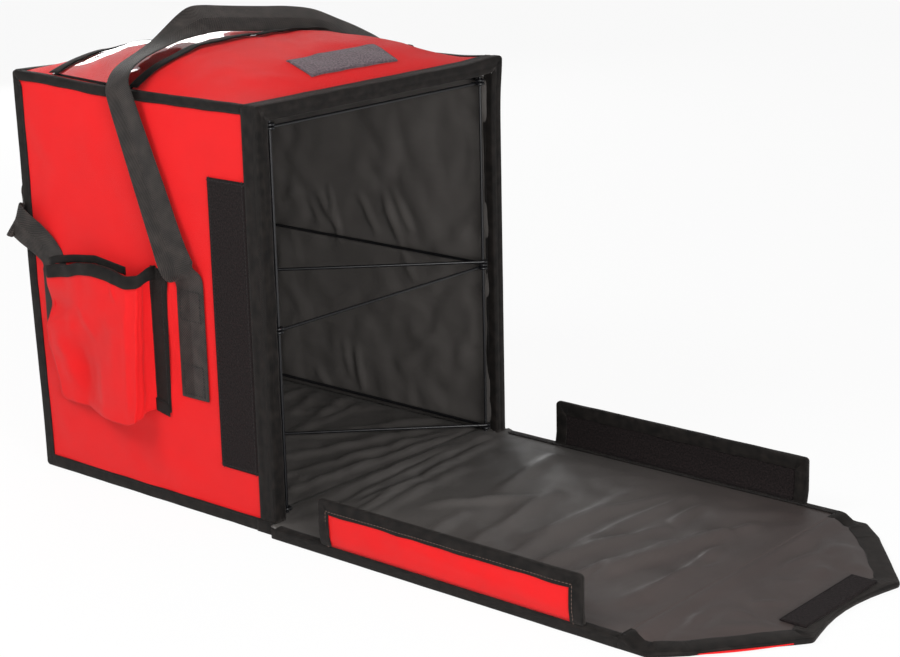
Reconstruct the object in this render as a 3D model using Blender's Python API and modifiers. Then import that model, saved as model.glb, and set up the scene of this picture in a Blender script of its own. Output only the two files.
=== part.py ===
"""Insulated pizza delivery bag with its flap open on the floor.

Metres, +Z up. The origin is at the middle of the bag's base, on the floor.
The mouth faces -Y and the flap lies on the floor in front of it. The side with the pocket is -X.
"""
import math

import bmesh
import bpy
from mathutils import Matrix, Vector

# The bag's box, measured over its outer fabric
bag_width = 0.354
bag_depth = 0.346
bag_height = 0.420

# A wall: outer fabric, foam and lining, with a sewing gap between the layers
skin_thickness = 0.001
foam_thickness = 0.010
lining_thickness = 0.001
gap = 0.0003
wall = skin_thickness + gap + foam_thickness + gap + lining_thickness

# Binding tape, folded over every cut edge
tape_thickness = 0.001
tape_stand = tape_thickness + gap
side_tape_leg = 0.011
side_tape_wrap = 0.006
rim_outer_leg = 0.019
rim_inner_leg = 0.010
narrow_tape_leg = 0.009
tongue_tape_leg = 0.021

# The padded top rises over its seams
crown_rise = 0.033
crown_lift = 0.0006
crown_cells = 16
window_front = -0.002
window_back = 0.140
window_tape_width = 0.012
pane_thickness = 0.0008

# Hook-and-loop pieces
fastener_thickness = 0.0015
side_strip_width = 0.050
side_strip_bottom = 0.058
side_strip_from_top = 0.072
top_patch_width = 0.125
top_patch_depth = 0.033
top_patch_from_rim = 0.039

# Handles of webbing
webbing_width = 0.038
webbing_thickness = 0.002
front_handle_y = -0.071
rear_handle_y = 0.141
handle_sewn_top = 0.241
handle_sewn_length = 0.120
leg_lean_left = math.radians(24)
leg_lean_right = math.radians(11)
loop_stand = 0.0095
loop_rise = 0.055
loop_bow = 0.030
loop_lean = math.radians(28)
rear_leg_lean = math.radians(54)
rear_fold_out = 0.020
rear_fold_up = 0.046
rear_loop_clearance = 0.0042
rear_loop_drop = 0.180
rear_loop_root = 0.170

# Side pocket
pocket_front = -0.010
pocket_back = 0.118
pocket_bottom = 0.088
pocket_top = 0.233
pocket_depth = 0.027
pocket_cloth = 0.0012
pocket_front_depth_share = 0.45
pocket_back_depth_share = 0.80
pocket_slant_share = 0.03
pocket_tape_width = 0.014

# Flap, tongue and wings
flap_clearance = 0.0005
wing_clearance = 0.0008
flap_foam_thickness = 0.007
flap_length = 0.418
tongue_length = 0.119
tongue_shoulder = 0.024
tongue_chamfer = 0.024
tongue_waist = 0.026
tongue_tip_width = 0.150
tongue_hollow = 0.012
tongue_fastener_width = 0.124
tongue_fastener_depth = 0.026
tongue_fastener_from_fold = 0.077
wing_start = 0.068
wing_length = 0.307
wing_height = 0.044
wing_cloth = 0.0014

# Wire rack
wire_radius = 0.0016
eye_clearance = 0.0004
post_inset = 0.0074
post_from_rim = 0.008
low_level_stand = 0.0042
middle_level_height = 0.200
top_level_drop = 0.0098
post_top_clearance = 0.0030
eye_turn = math.radians(300)
hook_turn = math.radians(110)
eye_steps = 7

half_width = bag_width / 2
half_depth = bag_depth / 2
rim_front = -half_depth - tape_stand
hinge_y = rim_front - flap_clearance
eye_radius = 2 * wire_radius + eye_clearance
level_step = 2 * wire_radius + eye_clearance
level_heights = {
    "low": wall + low_level_stand,
    "middle": middle_level_height,
    "top": bag_height - wall - top_level_drop,
}

RED = (0.62, 0.02, 0.03)
BLACK = (0.022, 0.020, 0.019)
LINING = (0.045, 0.040, 0.037)
FOAM = (0.60, 0.60, 0.58)
FASTENER = (0.018, 0.017, 0.018)
CLEAR = (0.85, 0.87, 0.90)
WIRE = (0.015, 0.015, 0.016)

for old_object in list(bpy.data.objects):
    bpy.data.objects.remove(old_object)

parts = bpy.data.collections.new("pizza_delivery_bag")
cutters = bpy.data.collections.new("cutters")
for collection in (parts, cutters):
    bpy.context.scene.collection.children.link(collection)


def finish_of(name, colour, roughness, metallic=0.0):
    material = bpy.data.materials.new(name + "_finish")
    material.use_nodes = True
    shader = material.node_tree.nodes["Principled BSDF"]
    shader.inputs["Base Color"].default_value = (*colour, 1.0)
    shader.inputs["Roughness"].default_value = roughness
    shader.inputs["Metallic"].default_value = metallic
    return material


def place(obj, colour, roughness=0.8, metallic=0.0):
    """Put an object in the parts collection with a material of its own."""
    for owner in list(obj.users_collection):
        owner.objects.unlink(obj)
    parts.objects.link(obj)
    obj.data.materials.clear()
    obj.data.materials.append(finish_of(obj.name, colour, roughness, metallic))
    return obj


def slab(name, x_range, y_range, z_range):
    """A box between two corners, from the cube primitive."""
    lows, highs = zip(x_range, y_range, z_range)
    middle = [(low + high) / 2 for low, high in zip(lows, highs)]
    bpy.ops.mesh.primitive_cube_add(size=1, location=middle)
    obj = bpy.context.object
    obj.name = name
    obj.scale = [high - low for low, high in zip(lows, highs)]
    bpy.ops.object.transform_apply(location=True, rotation=False, scale=True)
    return obj


def cut(obj, cutter):
    """Cut one object with another, which then only guides."""
    for owner in list(cutter.users_collection):
        owner.objects.unlink(cutter)
    cutters.objects.link(cutter)
    cutter.hide_render = True
    cutter.display_type = "WIRE"
    boolean = obj.modifiers.new("cut", "BOOLEAN")
    boolean.operation = "DIFFERENCE"
    boolean.object = cutter
    return obj


def thicken(obj, thickness, offset):
    solidify = obj.modifiers.new("cloth", "SOLIDIFY")
    solidify.thickness = thickness
    solidify.offset = offset
    return obj


def mesh_object(name, builder):
    mesh = bpy.data.meshes.new(name)
    builder.normal_update()
    builder.to_mesh(mesh)
    builder.free()
    obj = bpy.data.objects.new(name, mesh)
    bpy.context.scene.collection.objects.link(obj)
    return obj


def loft(name, rings):
    """A closed solid swept through a list of rings of points, with flat ends."""
    builder = bmesh.new()
    rows = [[builder.verts.new(point) for point in ring] for ring in rings]
    for row, following in zip(rows, rows[1:]):
        count = len(row)
        for index in range(count):
            beside = (index + 1) % count
            builder.faces.new((row[index], row[beside], following[beside], following[index]))
    builder.faces.new(list(reversed(rows[0])))
    builder.faces.new(rows[-1])
    bmesh.ops.recalc_face_normals(builder, faces=builder.faces)
    return mesh_object(name, builder)


def grid_sheet(name, xs, ys, height_at):
    """An open sheet with grid lines at these places, and its height a function of x and y."""
    columns, rows = len(xs) - 1, len(ys) - 1
    builder = bmesh.new()
    bmesh.ops.create_grid(builder, x_segments=columns, y_segments=rows, size=1)
    for vertex in builder.verts:
        x = xs[round((vertex.co.x + 1) / 2 * columns)]
        y = ys[round((vertex.co.y + 1) / 2 * rows)]
        vertex.co = (x, y, height_at(x, y))
    return mesh_object(name, builder)


def lines_between(start, end, lines):
    """The grid lines that a narrower sheet needs to lie parallel to a wider one."""
    return [start] + [line for line in lines if start + gap < line < end - gap] + [end]


def edge_binding(path, section, to_world):
    """Rings of a tape section that follows an edge, mitred at the corners.

    path is a flat line with the material on its left, section is a list of
    (inward distance, height) and to_world turns (u, v, height) into a point.
    """
    points = [Vector(point) for point in path]
    rings = []
    for index, point in enumerate(points):
        directions = []
        if index > 0:
            directions.append((point - points[index - 1]).normalized())
        if index < len(points) - 1:
            directions.append((points[index + 1] - point).normalized())
        normals = [Vector((-d.y, d.x)) for d in directions]
        mitre = sum(normals, Vector((0, 0))).normalized()
        mitre /= mitre.dot(normals[0])
        rings.append([to_world(*(point + mitre * inward), height) for inward, height in section])
    return rings


def channel(leg_below, leg_above, thickness):
    """Section of a tape folded over the edge of a sheet of this thickness."""
    return [
        (-tape_stand, -tape_stand), (leg_below, -tape_stand), (leg_below, -gap), (-gap, -gap),
        (-gap, thickness + gap), (leg_above, thickness + gap),
        (leg_above, thickness + tape_stand), (-tape_stand, thickness + tape_stand),
    ]


def ribbon(name, stations, thickness, steps):
    """A strap through stations of (centre, direction of its width), smoothed between them."""
    builder = bmesh.new()
    rows = []
    for centre, across in smooth_stations(stations, steps):
        half = across.normalized() * webbing_width / 2
        rows.append([builder.verts.new(centre - half), builder.verts.new(centre + half)])
    for row, following in zip(rows, rows[1:]):
        builder.faces.new((row[0], row[1], following[1], following[0]))
    return thicken(mesh_object(name, builder), thickness, 0)


def smooth_stations(stations, steps):
    """Catmull-Rom points through the stations, for the centre and for the width alike."""
    values = [(Vector(centre), Vector(across)) for centre, across in stations]
    padded = [values[0]] + values + [values[-1]]
    for index in range(len(values) - 1):
        around = padded[index:index + 4]
        for step in range(steps):
            t = step / steps
            yield tuple(catmull_rom([pair[part] for pair in around], t) for part in (0, 1))
    yield values[-1]


def catmull_rom(points, t):
    before, start, end, after = points
    return 0.5 * (2 * start + (end - before) * t
                  + (2 * before - 5 * start + 4 * end - after) * t ** 2
                  + (3 * start - before - 3 * end + after) * t ** 3)


def prism(name, outline, low, high):
    """A flat outline in XY, given its thickness by a filled 2D curve."""
    curve = bpy.data.curves.new(name, "CURVE")
    curve.dimensions = "2D"
    curve.fill_mode = "BOTH"
    curve.extrude = (high - low) / 2
    spline = curve.splines.new("POLY")
    spline.points.add(len(outline) - 1)
    for point, (x, y) in zip(spline.points, outline):
        point.co = (x, y, 0, 1)
    spline.use_cyclic_u = True
    obj = bpy.data.objects.new(name, curve)
    bpy.context.scene.collection.objects.link(obj)
    obj.location.z = (low + high) / 2
    return obj


def wire(name, route):
    """A round wire along a list of points."""
    curve = bpy.data.curves.new(name, "CURVE")
    curve.dimensions = "3D"
    curve.bevel_depth = wire_radius
    curve.bevel_resolution = 2
    curve.use_fill_caps = True
    spline = curve.splines.new("POLY")
    spline.points.add(len(route) - 1)
    for point, spot in zip(spline.points, route):
        point.co = (*spot, 1)
    obj = bpy.data.objects.new(name, curve)
    bpy.context.scene.collection.objects.link(obj)
    return place(obj, WIRE, 0.35, 0.6)


# Walls of the bag


def build_walls():
    """Outer fabric, foam and lining of the two sides, the back and the base, all flat."""
    foam_start = skin_thickness + gap
    lining_start = foam_start + foam_thickness + gap
    layers = {
        "outer": (0, skin_thickness, RED),
        "foam": (foam_start, lining_start - gap, FOAM),
        "lining": (lining_start, wall, LINING),
    }
    for layer, (start, end, colour) in layers.items():
        inside = start - gap if start else 0
        side_bottom = tape_stand if layer == "outer" else max(tape_stand, start)
        side_top = bag_height if layer == "outer" else bag_height - start
        side_back = half_depth if layer == "outer" else half_depth - start
        for side, sign in (("left", -1), ("right", 1)):
            spread = sorted((sign * (half_width - start), sign * (half_width - end)))
            place(slab(f"{side}_{layer}", spread, (-half_depth, side_back), (side_bottom, side_top)), colour)
        inner_x = half_width - end - gap
        back_x = (-inner_x, inner_x)
        back_y = (half_depth - end, half_depth - start)
        back_low = tape_stand if layer == "outer" else end + gap
        place(slab(f"back_{layer}", back_x, back_y, (back_low, bag_height - end - gap)), colour)
        base_x = half_width - side_tape_wrap - gap if layer == "outer" else inner_x
        base_back = half_depth - inside if layer == "outer" else half_depth - start
        base_y = (hinge_y + gap, base_back)
        place(slab(f"base_{layer}", (-base_x, base_x), base_y, (start, end)), colour)


crown_reach_x = half_width - side_tape_wrap - tape_stand
crown_reach_y = half_depth - rim_outer_leg - tape_stand
crown_shares = [2 * step / crown_cells - 1 for step in range(crown_cells + 1)]
crown_xs = [crown_reach_x * share for share in crown_shares]
crown_ys = [crown_reach_y * share for share in crown_shares]


def crown(x, y):
    """Height of the padded top over the bag's edges."""
    across = max(0.0, 1 - (x / crown_reach_x) ** 2)
    along = max(0.0, 1 - abs(y / crown_reach_y) ** 3)
    return crown_rise * across * along


def trim_height(x, y):
    """Height of what lies on the padded top."""
    return bag_height + crown(x, y) + crown_lift


def build_top():
    """The crowned outer fabric, a foam lens under it and a flat lining."""
    outer_x = half_width - skin_thickness - gap
    outer = grid_sheet("top_outer", lines_between(-outer_x, outer_x, crown_xs),
                       lines_between(-half_depth, half_depth, crown_ys),
                       lambda x, y: bag_height + crown(x, y))
    place(thicken(outer, skin_thickness, -1), RED)
    foam_x = outer_x - foam_thickness - gap
    foam_top = bag_height - skin_thickness - 2 * gap
    foam_low = bag_height - skin_thickness - gap - foam_thickness
    foam_back = half_depth - skin_thickness - gap
    foam = grid_sheet("top_foam", lines_between(-foam_x, foam_x, crown_xs),
                      lines_between(-half_depth, foam_back, crown_ys),
                      lambda x, y: foam_top + max(0.0, crown(x, y) - crown_lift))
    fill_down(foam, foam_low)
    place(foam, FOAM)
    lining_x = half_width - wall - gap
    lining_y = half_depth - skin_thickness - 2 * gap - foam_thickness - gap
    place(slab("top_lining", (-lining_x, lining_x), (-half_depth, lining_y),
               (bag_height - wall, bag_height - wall + lining_thickness)), LINING)


def fill_down(obj, bottom):
    """Close an open sheet downwards to a flat underside."""
    builder = bmesh.new()
    builder.from_mesh(obj.data)
    copied = bmesh.ops.extrude_face_region(builder, geom=list(builder.faces))
    for item in copied["geom"]:
        if isinstance(item, bmesh.types.BMVert):
            item.co.z = bottom
    bmesh.ops.recalc_face_normals(builder, faces=builder.faces)
    builder.to_mesh(obj.data)
    builder.free()


def build_edge_tapes():
    """Tape round each side face, and tape over the rim of the mouth."""
    side_section = [
        (-tape_stand, -tape_stand), (side_tape_leg, -tape_stand), (side_tape_leg, -gap),
        (-gap, -gap), (-gap, side_tape_wrap), (-tape_stand, side_tape_wrap),
    ]
    tape_front = -half_depth + rim_outer_leg + gap
    side_path = [(tape_front, tape_stand), (half_depth, tape_stand),
                 (half_depth, bag_height), (tape_front, bag_height)]
    for side, sign in (("left", -1), ("right", 1)):
        rings = edge_binding(side_path, side_section,
                             lambda y, z, depth, sign=sign: (sign * (half_width - depth), y, z))
        place(loft(f"{side}_face_binding", rings), BLACK)
    rim_section = [
        (-tape_stand, -tape_stand), (wall + tape_stand, -tape_stand), (wall + tape_stand, rim_inner_leg),
        (wall + gap, rim_inner_leg), (wall + gap, -gap), (-gap, -gap),
        (-gap, rim_outer_leg), (-tape_stand, rim_outer_leg),
    ]
    rim_path = [(half_width, tape_stand), (half_width, bag_height),
                (-half_width, bag_height), (-half_width, tape_stand)]
    rings = edge_binding(rim_path, rim_section, lambda x, z, depth: (x, -half_depth + depth, z))
    rim = place(loft("mouth_binding", rings), BLACK)
    base_room = slab("base_room", (-half_width + skin_thickness, half_width - skin_thickness),
                     (hinge_y - wall, 0), (-wall, wall + gap))
    cut(rim, base_room)


def build_top_trim():
    """The clear window across the top with its front tape, and the patch for the tongue."""
    trim_x = half_width - side_tape_wrap - tape_stand - gap
    pane_front = window_front + window_tape_width
    trim_xs = lines_between(-trim_x, trim_x, crown_xs)
    tape_ys = lines_between(window_front, pane_front - gap, crown_ys)
    tape = grid_sheet("window_tape", trim_xs, tape_ys, trim_height)
    place(thicken(tape, tape_thickness, 1), BLACK)
    pane_ys = lines_between(pane_front, window_back, crown_ys)
    pane = grid_sheet("window_pane", trim_xs, pane_ys, trim_height)
    place(thicken(pane, pane_thickness, 1), CLEAR, 0.1)
    patch_front = -half_depth + top_patch_from_rim
    patch = grid_sheet("top_patch", lines_between(-top_patch_width / 2, top_patch_width / 2, crown_xs),
                       lines_between(patch_front, patch_front + top_patch_depth, crown_ys), trim_height)
    place(thicken(patch, fastener_thickness, 1), FASTENER, 0.95)


def build_side_strips():
    strip_front = -half_depth + rim_outer_leg + gap
    for side, sign in (("left", -1), ("right", 1)):
        spread = sorted((sign * (half_width + gap), sign * (half_width + gap + fastener_thickness)))
        place(slab(f"{side}_side_strip", spread, (strip_front, strip_front + side_strip_width),
                   (side_strip_bottom, bag_height - side_strip_from_top)), FASTENER, 0.95)


# Handles


def leg_point(sign, distance, pivot_y, lean, stand):
    """A point on a handle's leg, at a distance from its sewn top."""
    return Vector((sign * (half_width + stand), pivot_y + distance * math.sin(lean),
                   handle_sewn_top + gap + distance * math.cos(lean)))


def sewn_segment(name, sign, centre_y):
    inner = half_width + gap
    spread = sorted((sign * inner, sign * (inner + webbing_thickness)))
    return slab(name, spread, (centre_y - webbing_width / 2, centre_y + webbing_width / 2),
                (handle_sewn_top - handle_sewn_length, handle_sewn_top))


def build_front_handle():
    """Two sewn ends, and a loop that leans back over the top, further on the left side."""
    sewn_stand = gap + webbing_thickness / 2
    leg_height = bag_height - handle_sewn_top
    for side, sign in (("left", -1), ("right", 1)):
        place(sewn_segment(f"front_handle_end_{side}", sign, front_handle_y), BLACK)
    legs = {}
    root_stand = sewn_stand + webbing_thickness + gap
    for sign, lean in ((-1, leg_lean_left), (1, leg_lean_right)):
        across = Vector((0, math.cos(lean), -math.sin(lean)))
        run = leg_height / math.cos(lean)
        bend_share = 0.12
        leg_shares = (0.25, 0.60, 0.95)
        legs[sign] = [
            (leg_point(sign, 0, front_handle_y, 0, root_stand), (0, 1, 0)),
            (leg_point(sign, bend_share * run, front_handle_y, lean / 2, (root_stand + loop_stand) / 2),
             (0, math.cos(lean / 2), -math.sin(lean / 2))),
        ]
        legs[sign] += [(leg_point(sign, share * run, front_handle_y, lean, loop_stand), across)
                       for share in leg_shares]
    # The part over the top: shares of the half width, of the rise and of the lean of the webbing
    top_shares = [
        (-1.035, 0.12, 0.02), (-0.93, 0.37, 0.10), (-0.76, 0.65, 0.25), (-0.58, 0.83, 0.60),
        (-0.38, 0.96, 0.95), (-0.24, 1.00, 1.00), (0.02, 0.94, 1.00), (0.25, 0.86, 0.95),
        (0.48, 0.77, 0.80), (0.73, 0.54, 0.60), (0.90, 0.33, 0.30), (1.03, 0.12, 0.02),
    ]
    start_y = legs[-1][-1][0].y
    end_y = legs[1][-1][0].y
    top = []
    for x_share, rise_share, lean_share in top_shares:
        along = (x_share + 1) / 2
        bow = loop_bow * math.sin(math.pi * max(0, min(1, along)))
        y = start_y + (end_y - start_y) * along ** 2 + bow
        lean = loop_lean * lean_share
        top.append(((half_width * x_share, y, bag_height + loop_rise * rise_share),
                    (0, math.cos(lean), math.sin(lean))))
    stations = legs[-1] + top + list(reversed(legs[1]))
    return place(ribbon("front_handle", stations, webbing_thickness, 2), BLACK)


hang_y = half_depth + tape_stand + rear_loop_clearance + webbing_width / 2


def build_rear_handle():
    """Two sewn ends that wrap round the back edges, and the loop that hangs between them."""
    sewn_stand = gap + webbing_thickness / 2
    reach = hang_y - rear_handle_y
    lean = rear_leg_lean
    # Shares of the fold's reach outwards, backwards and up, with the direction of the width
    end_shares = [
        ((0.24, 0.22, 0.16), (0, math.cos(lean), -math.sin(lean))),
        ((0.40, 0.62, 0.58), (0, math.cos(lean), -math.sin(lean))),
        ((0.90, 0.88, 0.82), (-0.25, 0.40, -0.90)),
        ((0.62, 1.03, 0.97), (0, 0.15, -1)),
    ]
    for side, sign in (("left", -1), ("right", 1)):
        sewn_x = sign * (half_width + sewn_stand)
        stations = [
            ((sewn_x, rear_handle_y, handle_sewn_top - handle_sewn_length), (0, 1, 0)),
            ((sewn_x + sign * gap, rear_handle_y, handle_sewn_top - handle_sewn_length / 8), (0, 1, 0)),
        ]
        for (out, back, up), across in end_shares:
            spot = (sewn_x + sign * rear_fold_out * out, rear_handle_y + reach * back,
                    handle_sewn_top + rear_fold_up * up)
            stations.append((spot, (-sign * across[0], across[1], across[2])))
        stations.append(((sign * (rear_loop_root + gap), hang_y, handle_sewn_top + rear_fold_up), (0, 0, -1)))
        place(ribbon(f"rear_handle_end_{side}", stations, webbing_thickness, 3), BLACK)
    # Half of the loop as shares of its root's distance and of its drop, with the width's direction
    loop_shares = [
        ((1.00, 0.00), (0, 0, -1)), ((0.90, 0.04), (-0.25, 0.35, -0.90)),
        ((0.76, 0.16), (-0.50, 0.80, -0.40)), ((0.62, 0.40), (-0.25, 1, -0.10)),
        ((0.45, 0.70), (0, 1, 0)), ((0.25, 0.93), (0, 1, 0)), ((0.00, 1.00), (0, 1, 0)),
    ]
    stations = []
    for (root_share, drop_share), across in loop_shares:
        stations.append(((-rear_loop_root * root_share, hang_y,
                          handle_sewn_top + rear_fold_up - rear_loop_drop * drop_share), across))
    mirrored = [((-centre[0], centre[1], centre[2]), (across[0], -across[1], -across[2]))
                for centre, across in reversed(stations[:-1])]
    return place(ribbon("rear_handle", stations + mirrored, webbing_thickness, 3), BLACK)


# Pocket


def build_pocket():
    """A bellows pocket: front sheet, one gusset strip, a top binding and an edge tape."""
    face_x = half_width + gap
    top_depth_front = pocket_front_depth_share * pocket_depth
    top_depth_back = pocket_back_depth_share * pocket_depth
    drop = pocket_slant_share * (pocket_top - pocket_bottom)
    # Corners as (depth from the face, y, z), from the mouth's top edge round the bottom
    outer_corners = [
        (top_depth_front, pocket_front + 2 * drop, pocket_top),
        (pocket_depth, pocket_front + 2 * drop, pocket_bottom),
        (pocket_depth, pocket_back - 2 * drop, pocket_bottom),
        (top_depth_back, pocket_back - drop, pocket_top - drop),
    ]
    face_corners = [
        (gap, pocket_front, pocket_top), (gap, pocket_front - 3 * drop, pocket_bottom + 3 * drop),
        (gap, pocket_back, pocket_bottom), (gap, pocket_back, pocket_top - drop),
    ]

    def corner(values, inset=0):
        depth, y, z = values
        return Vector((-face_x - depth + inset, y, z))

    builder = bmesh.new()
    outer = [builder.verts.new(corner(values, pocket_cloth + gap)) for values in outer_corners]
    face = [builder.verts.new(corner(values)) for values in face_corners]
    for index in range(3):
        builder.faces.new((face[index], outer[index], outer[index + 1], face[index + 1]))
    bmesh.ops.recalc_face_normals(builder, faces=builder.faces)
    place(thicken(mesh_object("pocket_gusset", builder), pocket_cloth, 0), RED)

    builder = bmesh.new()
    corners = [builder.verts.new(corner(values)) for values in outer_corners]
    builder.faces.new(corners)
    bmesh.ops.subdivide_edges(builder, edges=list(builder.edges), cuts=3, use_grid_fill=True)
    bmesh.ops.recalc_face_normals(builder, faces=builder.faces)
    place(thicken(mesh_object("pocket_sheet", builder), pocket_cloth, 0), RED)

    sheet_corners = [corner(values) for values in outer_corners]
    along = (sheet_corners[3] - sheet_corners[0]).normalized()
    rings = []
    for top, bottom, inward in ((sheet_corners[0], sheet_corners[1], along),
                                (sheet_corners[3], sheet_corners[2], -along)):
        end = top + inward * (pocket_cloth + 2 * gap)
        down = (bottom - top).normalized()
        outward = down.cross(along).normalized()
        slot = outward * (pocket_cloth / 2 + 2 * gap)
        half = outward * (pocket_cloth / 2 + 2 * gap + tape_thickness)
        lid = -down * 2 * gap
        cap = -down * (2 * gap + tape_thickness)
        leg = down * narrow_tape_leg
        rings.append([end + half + cap, end + half + leg, end + slot + leg, end + slot + lid,
                      end - slot + lid, end - slot + leg, end - half + leg, end - half + cap])
    place(loft("pocket_top_binding", rings), BLACK)

    rings = []
    for _, y, z in face_corners[:2]:
        inner_y = y - pocket_cloth - gap
        rings.append([
            Vector((-face_x, inner_y, z)), Vector((-face_x, inner_y - pocket_tape_width, z)),
            Vector((-face_x - tape_thickness, inner_y - pocket_tape_width, z)),
            Vector((-face_x - tape_thickness, inner_y, z)),
        ])
    place(loft("pocket_edge_tape", rings), BLACK)


# Flap, wings and tongue


def empty_at(name, location):
    obj = bpy.data.objects.new(name, None)
    obj.location = location
    parts.objects.link(obj)
    return obj


def hang_on(pieces, hinge):
    """Parent pieces to an empty that stands on their joint's axis, without moving them."""
    for piece in pieces:
        piece.parent = hinge
        piece.matrix_parent_inverse = Matrix.Translation(hinge.location).inverted()


wing_inner = half_width + gap + fastener_thickness + wing_clearance
wing_stack = wing_cloth + gap + fastener_thickness
flap_half = wing_inner + wing_stack + 2 * tape_stand
flap_low = tape_stand
flap_stack = skin_thickness + gap + flap_foam_thickness + gap + lining_thickness
flap_top = flap_low + flap_stack + tape_stand
tongue_stack = skin_thickness + gap + lining_thickness
tongue_top = flap_low + tongue_stack + tape_stand + gap + fastener_thickness
fold_y = hinge_y - flap_length


def build_flap():
    """Outer fabric, foam and lining of the flap, and the tape folded over each side edge."""
    near = hinge_y - flap_clearance
    far = fold_y + gap
    edge_x = flap_half - tape_stand
    pieces = []
    low = flap_low
    for layer, thickness, colour in (("outer", skin_thickness, RED), ("foam", flap_foam_thickness, FOAM),
                                     ("lining", lining_thickness, LINING)):
        pieces.append(place(slab(f"flap_{layer}", (-edge_x, edge_x), (far, near),
                                 (low, low + thickness)), colour))
        low += thickness + gap
    section = channel(narrow_tape_leg, narrow_tape_leg, flap_stack)
    paths = {"left": [(-edge_x, near), (-edge_x, far)], "right": [(edge_x, far), (edge_x, near)]}
    for side, path in paths.items():
        rings = edge_binding(path, section, lambda x, y, height: (x, y, flap_low + height))
        pieces.append(place(loft(f"flap_binding_{side}", rings), BLACK))
    return pieces


def tongue_outline():
    """The tongue's edge from the fold on the left, round its hollow end, to the right."""
    inner_x = flap_half - tape_stand
    start = fold_y - gap
    tip_half = tongue_tip_width / 2
    tip_y = fold_y - tongue_length + tape_stand
    shoulder_y = fold_y - tongue_shoulder
    waist_y = shoulder_y - tongue_waist
    left = [(-inner_x, start), (-inner_x, shoulder_y),
            (-inner_x + tongue_chamfer, waist_y), (-tip_half, tip_y)]
    hollow = []
    for step in range(1, 8):
        share = step / 8
        x = tip_half * (2 * share - 1)
        hollow.append((x, tip_y + tongue_hollow * math.sin(math.pi * share)))
    right = [(-x, y) for x, y in reversed(left)]
    return left + hollow + right


def build_tongue():
    low = flap_low
    outline = tongue_outline()
    pieces = [
        place(prism("tongue_outer", outline, low, low + skin_thickness), RED),
        place(prism("tongue_lining", outline, low + skin_thickness + gap, low + tongue_stack), LINING),
    ]
    section = channel(tongue_tape_leg / 2, tongue_tape_leg, tongue_stack)
    rings = edge_binding(outline, section, lambda x, y, height: (x, y, low + height))
    pieces.append(place(loft("tongue_binding", rings), BLACK))
    near = fold_y - tongue_fastener_from_fold
    half = tongue_fastener_width / 2
    pieces.append(place(slab("tongue_fastener", (-half, half), (near - tongue_fastener_depth, near),
                             (tongue_top - fastener_thickness, tongue_top)), FASTENER, 0.95))
    return pieces


def build_wing(side, sign):
    """A narrow panel that stands along the flap's edge: cloth, fastener and a tape round three edges."""
    low = flap_top + gap
    high = low + wing_height
    near = hinge_y - wing_start
    far = near - wing_length
    cloth_outer = flap_half - tape_stand
    layers = (("outer", 0, wing_cloth, RED, 0.8), ("fastener", wing_cloth + gap, wing_stack, FASTENER, 0.95))
    pieces = []
    for layer, start, end, colour, roughness in layers:
        spread = sorted((sign * (cloth_outer - start), sign * (cloth_outer - end)))
        sheet = slab(f"{side}_wing_{layer}", spread, (far, near), (low, high))
        pieces.append(place(sheet, colour, roughness))
    path = [(near, low), (near, high), (far, high), (far, low)]
    rings = edge_binding(path, channel(narrow_tape_leg, narrow_tape_leg, wing_stack),
                         lambda y, z, depth: (sign * (cloth_outer - depth), y, z))
    pieces.append(place(loft(f"{side}_wing_binding", rings), BLACK))
    return pieces


# Wire rack


def post_places():
    x = half_width - wall - post_inset
    return {
        "front_left": Vector((-x, -half_depth + post_from_rim, 0)),
        "front_right": Vector((x, -half_depth + post_from_rim, 0)),
        "back_left": Vector((-x, half_depth - wall - post_inset, 0)),
        "back_right": Vector((x, half_depth - wall - post_inset, 0)),
    }


def arc(centre, start, turn, height):
    """Points round a post, from the direction start, turned by turn."""
    points = []
    for step in range(eye_steps + 1):
        spun = Matrix.Rotation(turn * step / eye_steps, 3, "Z") @ start
        points.append(centre + spun * eye_radius + Vector((0, 0, height)))
    return points


def eyed_wire(first, second, height, first_turn=eye_turn, second_turn=eye_turn):
    """A wire from post to post that ends in an eye round each."""
    direction = (second - first).normalized()
    aside = Vector((-direction.y, direction.x, 0))
    first_eye = arc(first, aside, first_turn, height)
    second_eye = arc(second, aside, -second_turn, height)
    return list(reversed(first_eye)) + second_eye


def bent_wire(posts, height):
    """A wire with an eye round each front post, bent round the outside of the back posts."""
    quarter = -math.pi / 2
    left, back, right = Vector((-1, 0, 0)), Vector((0, 1, 0)), Vector((1, 0, 0))
    return (list(reversed(arc(posts["front_left"], left, eye_turn, height)))
            + arc(posts["back_left"], left, quarter, height)
            + arc(posts["back_right"], back, quarter, height)
            + arc(posts["front_right"], right, -eye_turn, height))


def build_rack():
    posts = post_places()
    foot = wall + gap
    for name, spot in posts.items():
        top = Vector((spot.x, spot.y, bag_height - wall - post_top_clearance))
        wire(f"rack_post_{name}", [Vector((spot.x, spot.y, foot)), top])
    for level, height in level_heights.items():
        wire(f"rack_front_wire_{level}", eyed_wire(posts["front_left"], posts["front_right"], height))
        wire(f"rack_bent_wire_{level}", bent_wire(posts, height + level_step))
    braces = []
    for name in ("low", "middle"):
        height = level_heights[name] + 2 * level_step
        route = eyed_wire(posts["front_right"], posts["back_left"], height, hook_turn, eye_turn)
        braces.append(wire(f"rack_brace_{name}", route))
    return braces


build_walls()
build_top()
build_edge_tapes()
build_top_trim()
build_side_strips()
build_pocket()
low_brace, middle_brace = build_rack()

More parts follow.
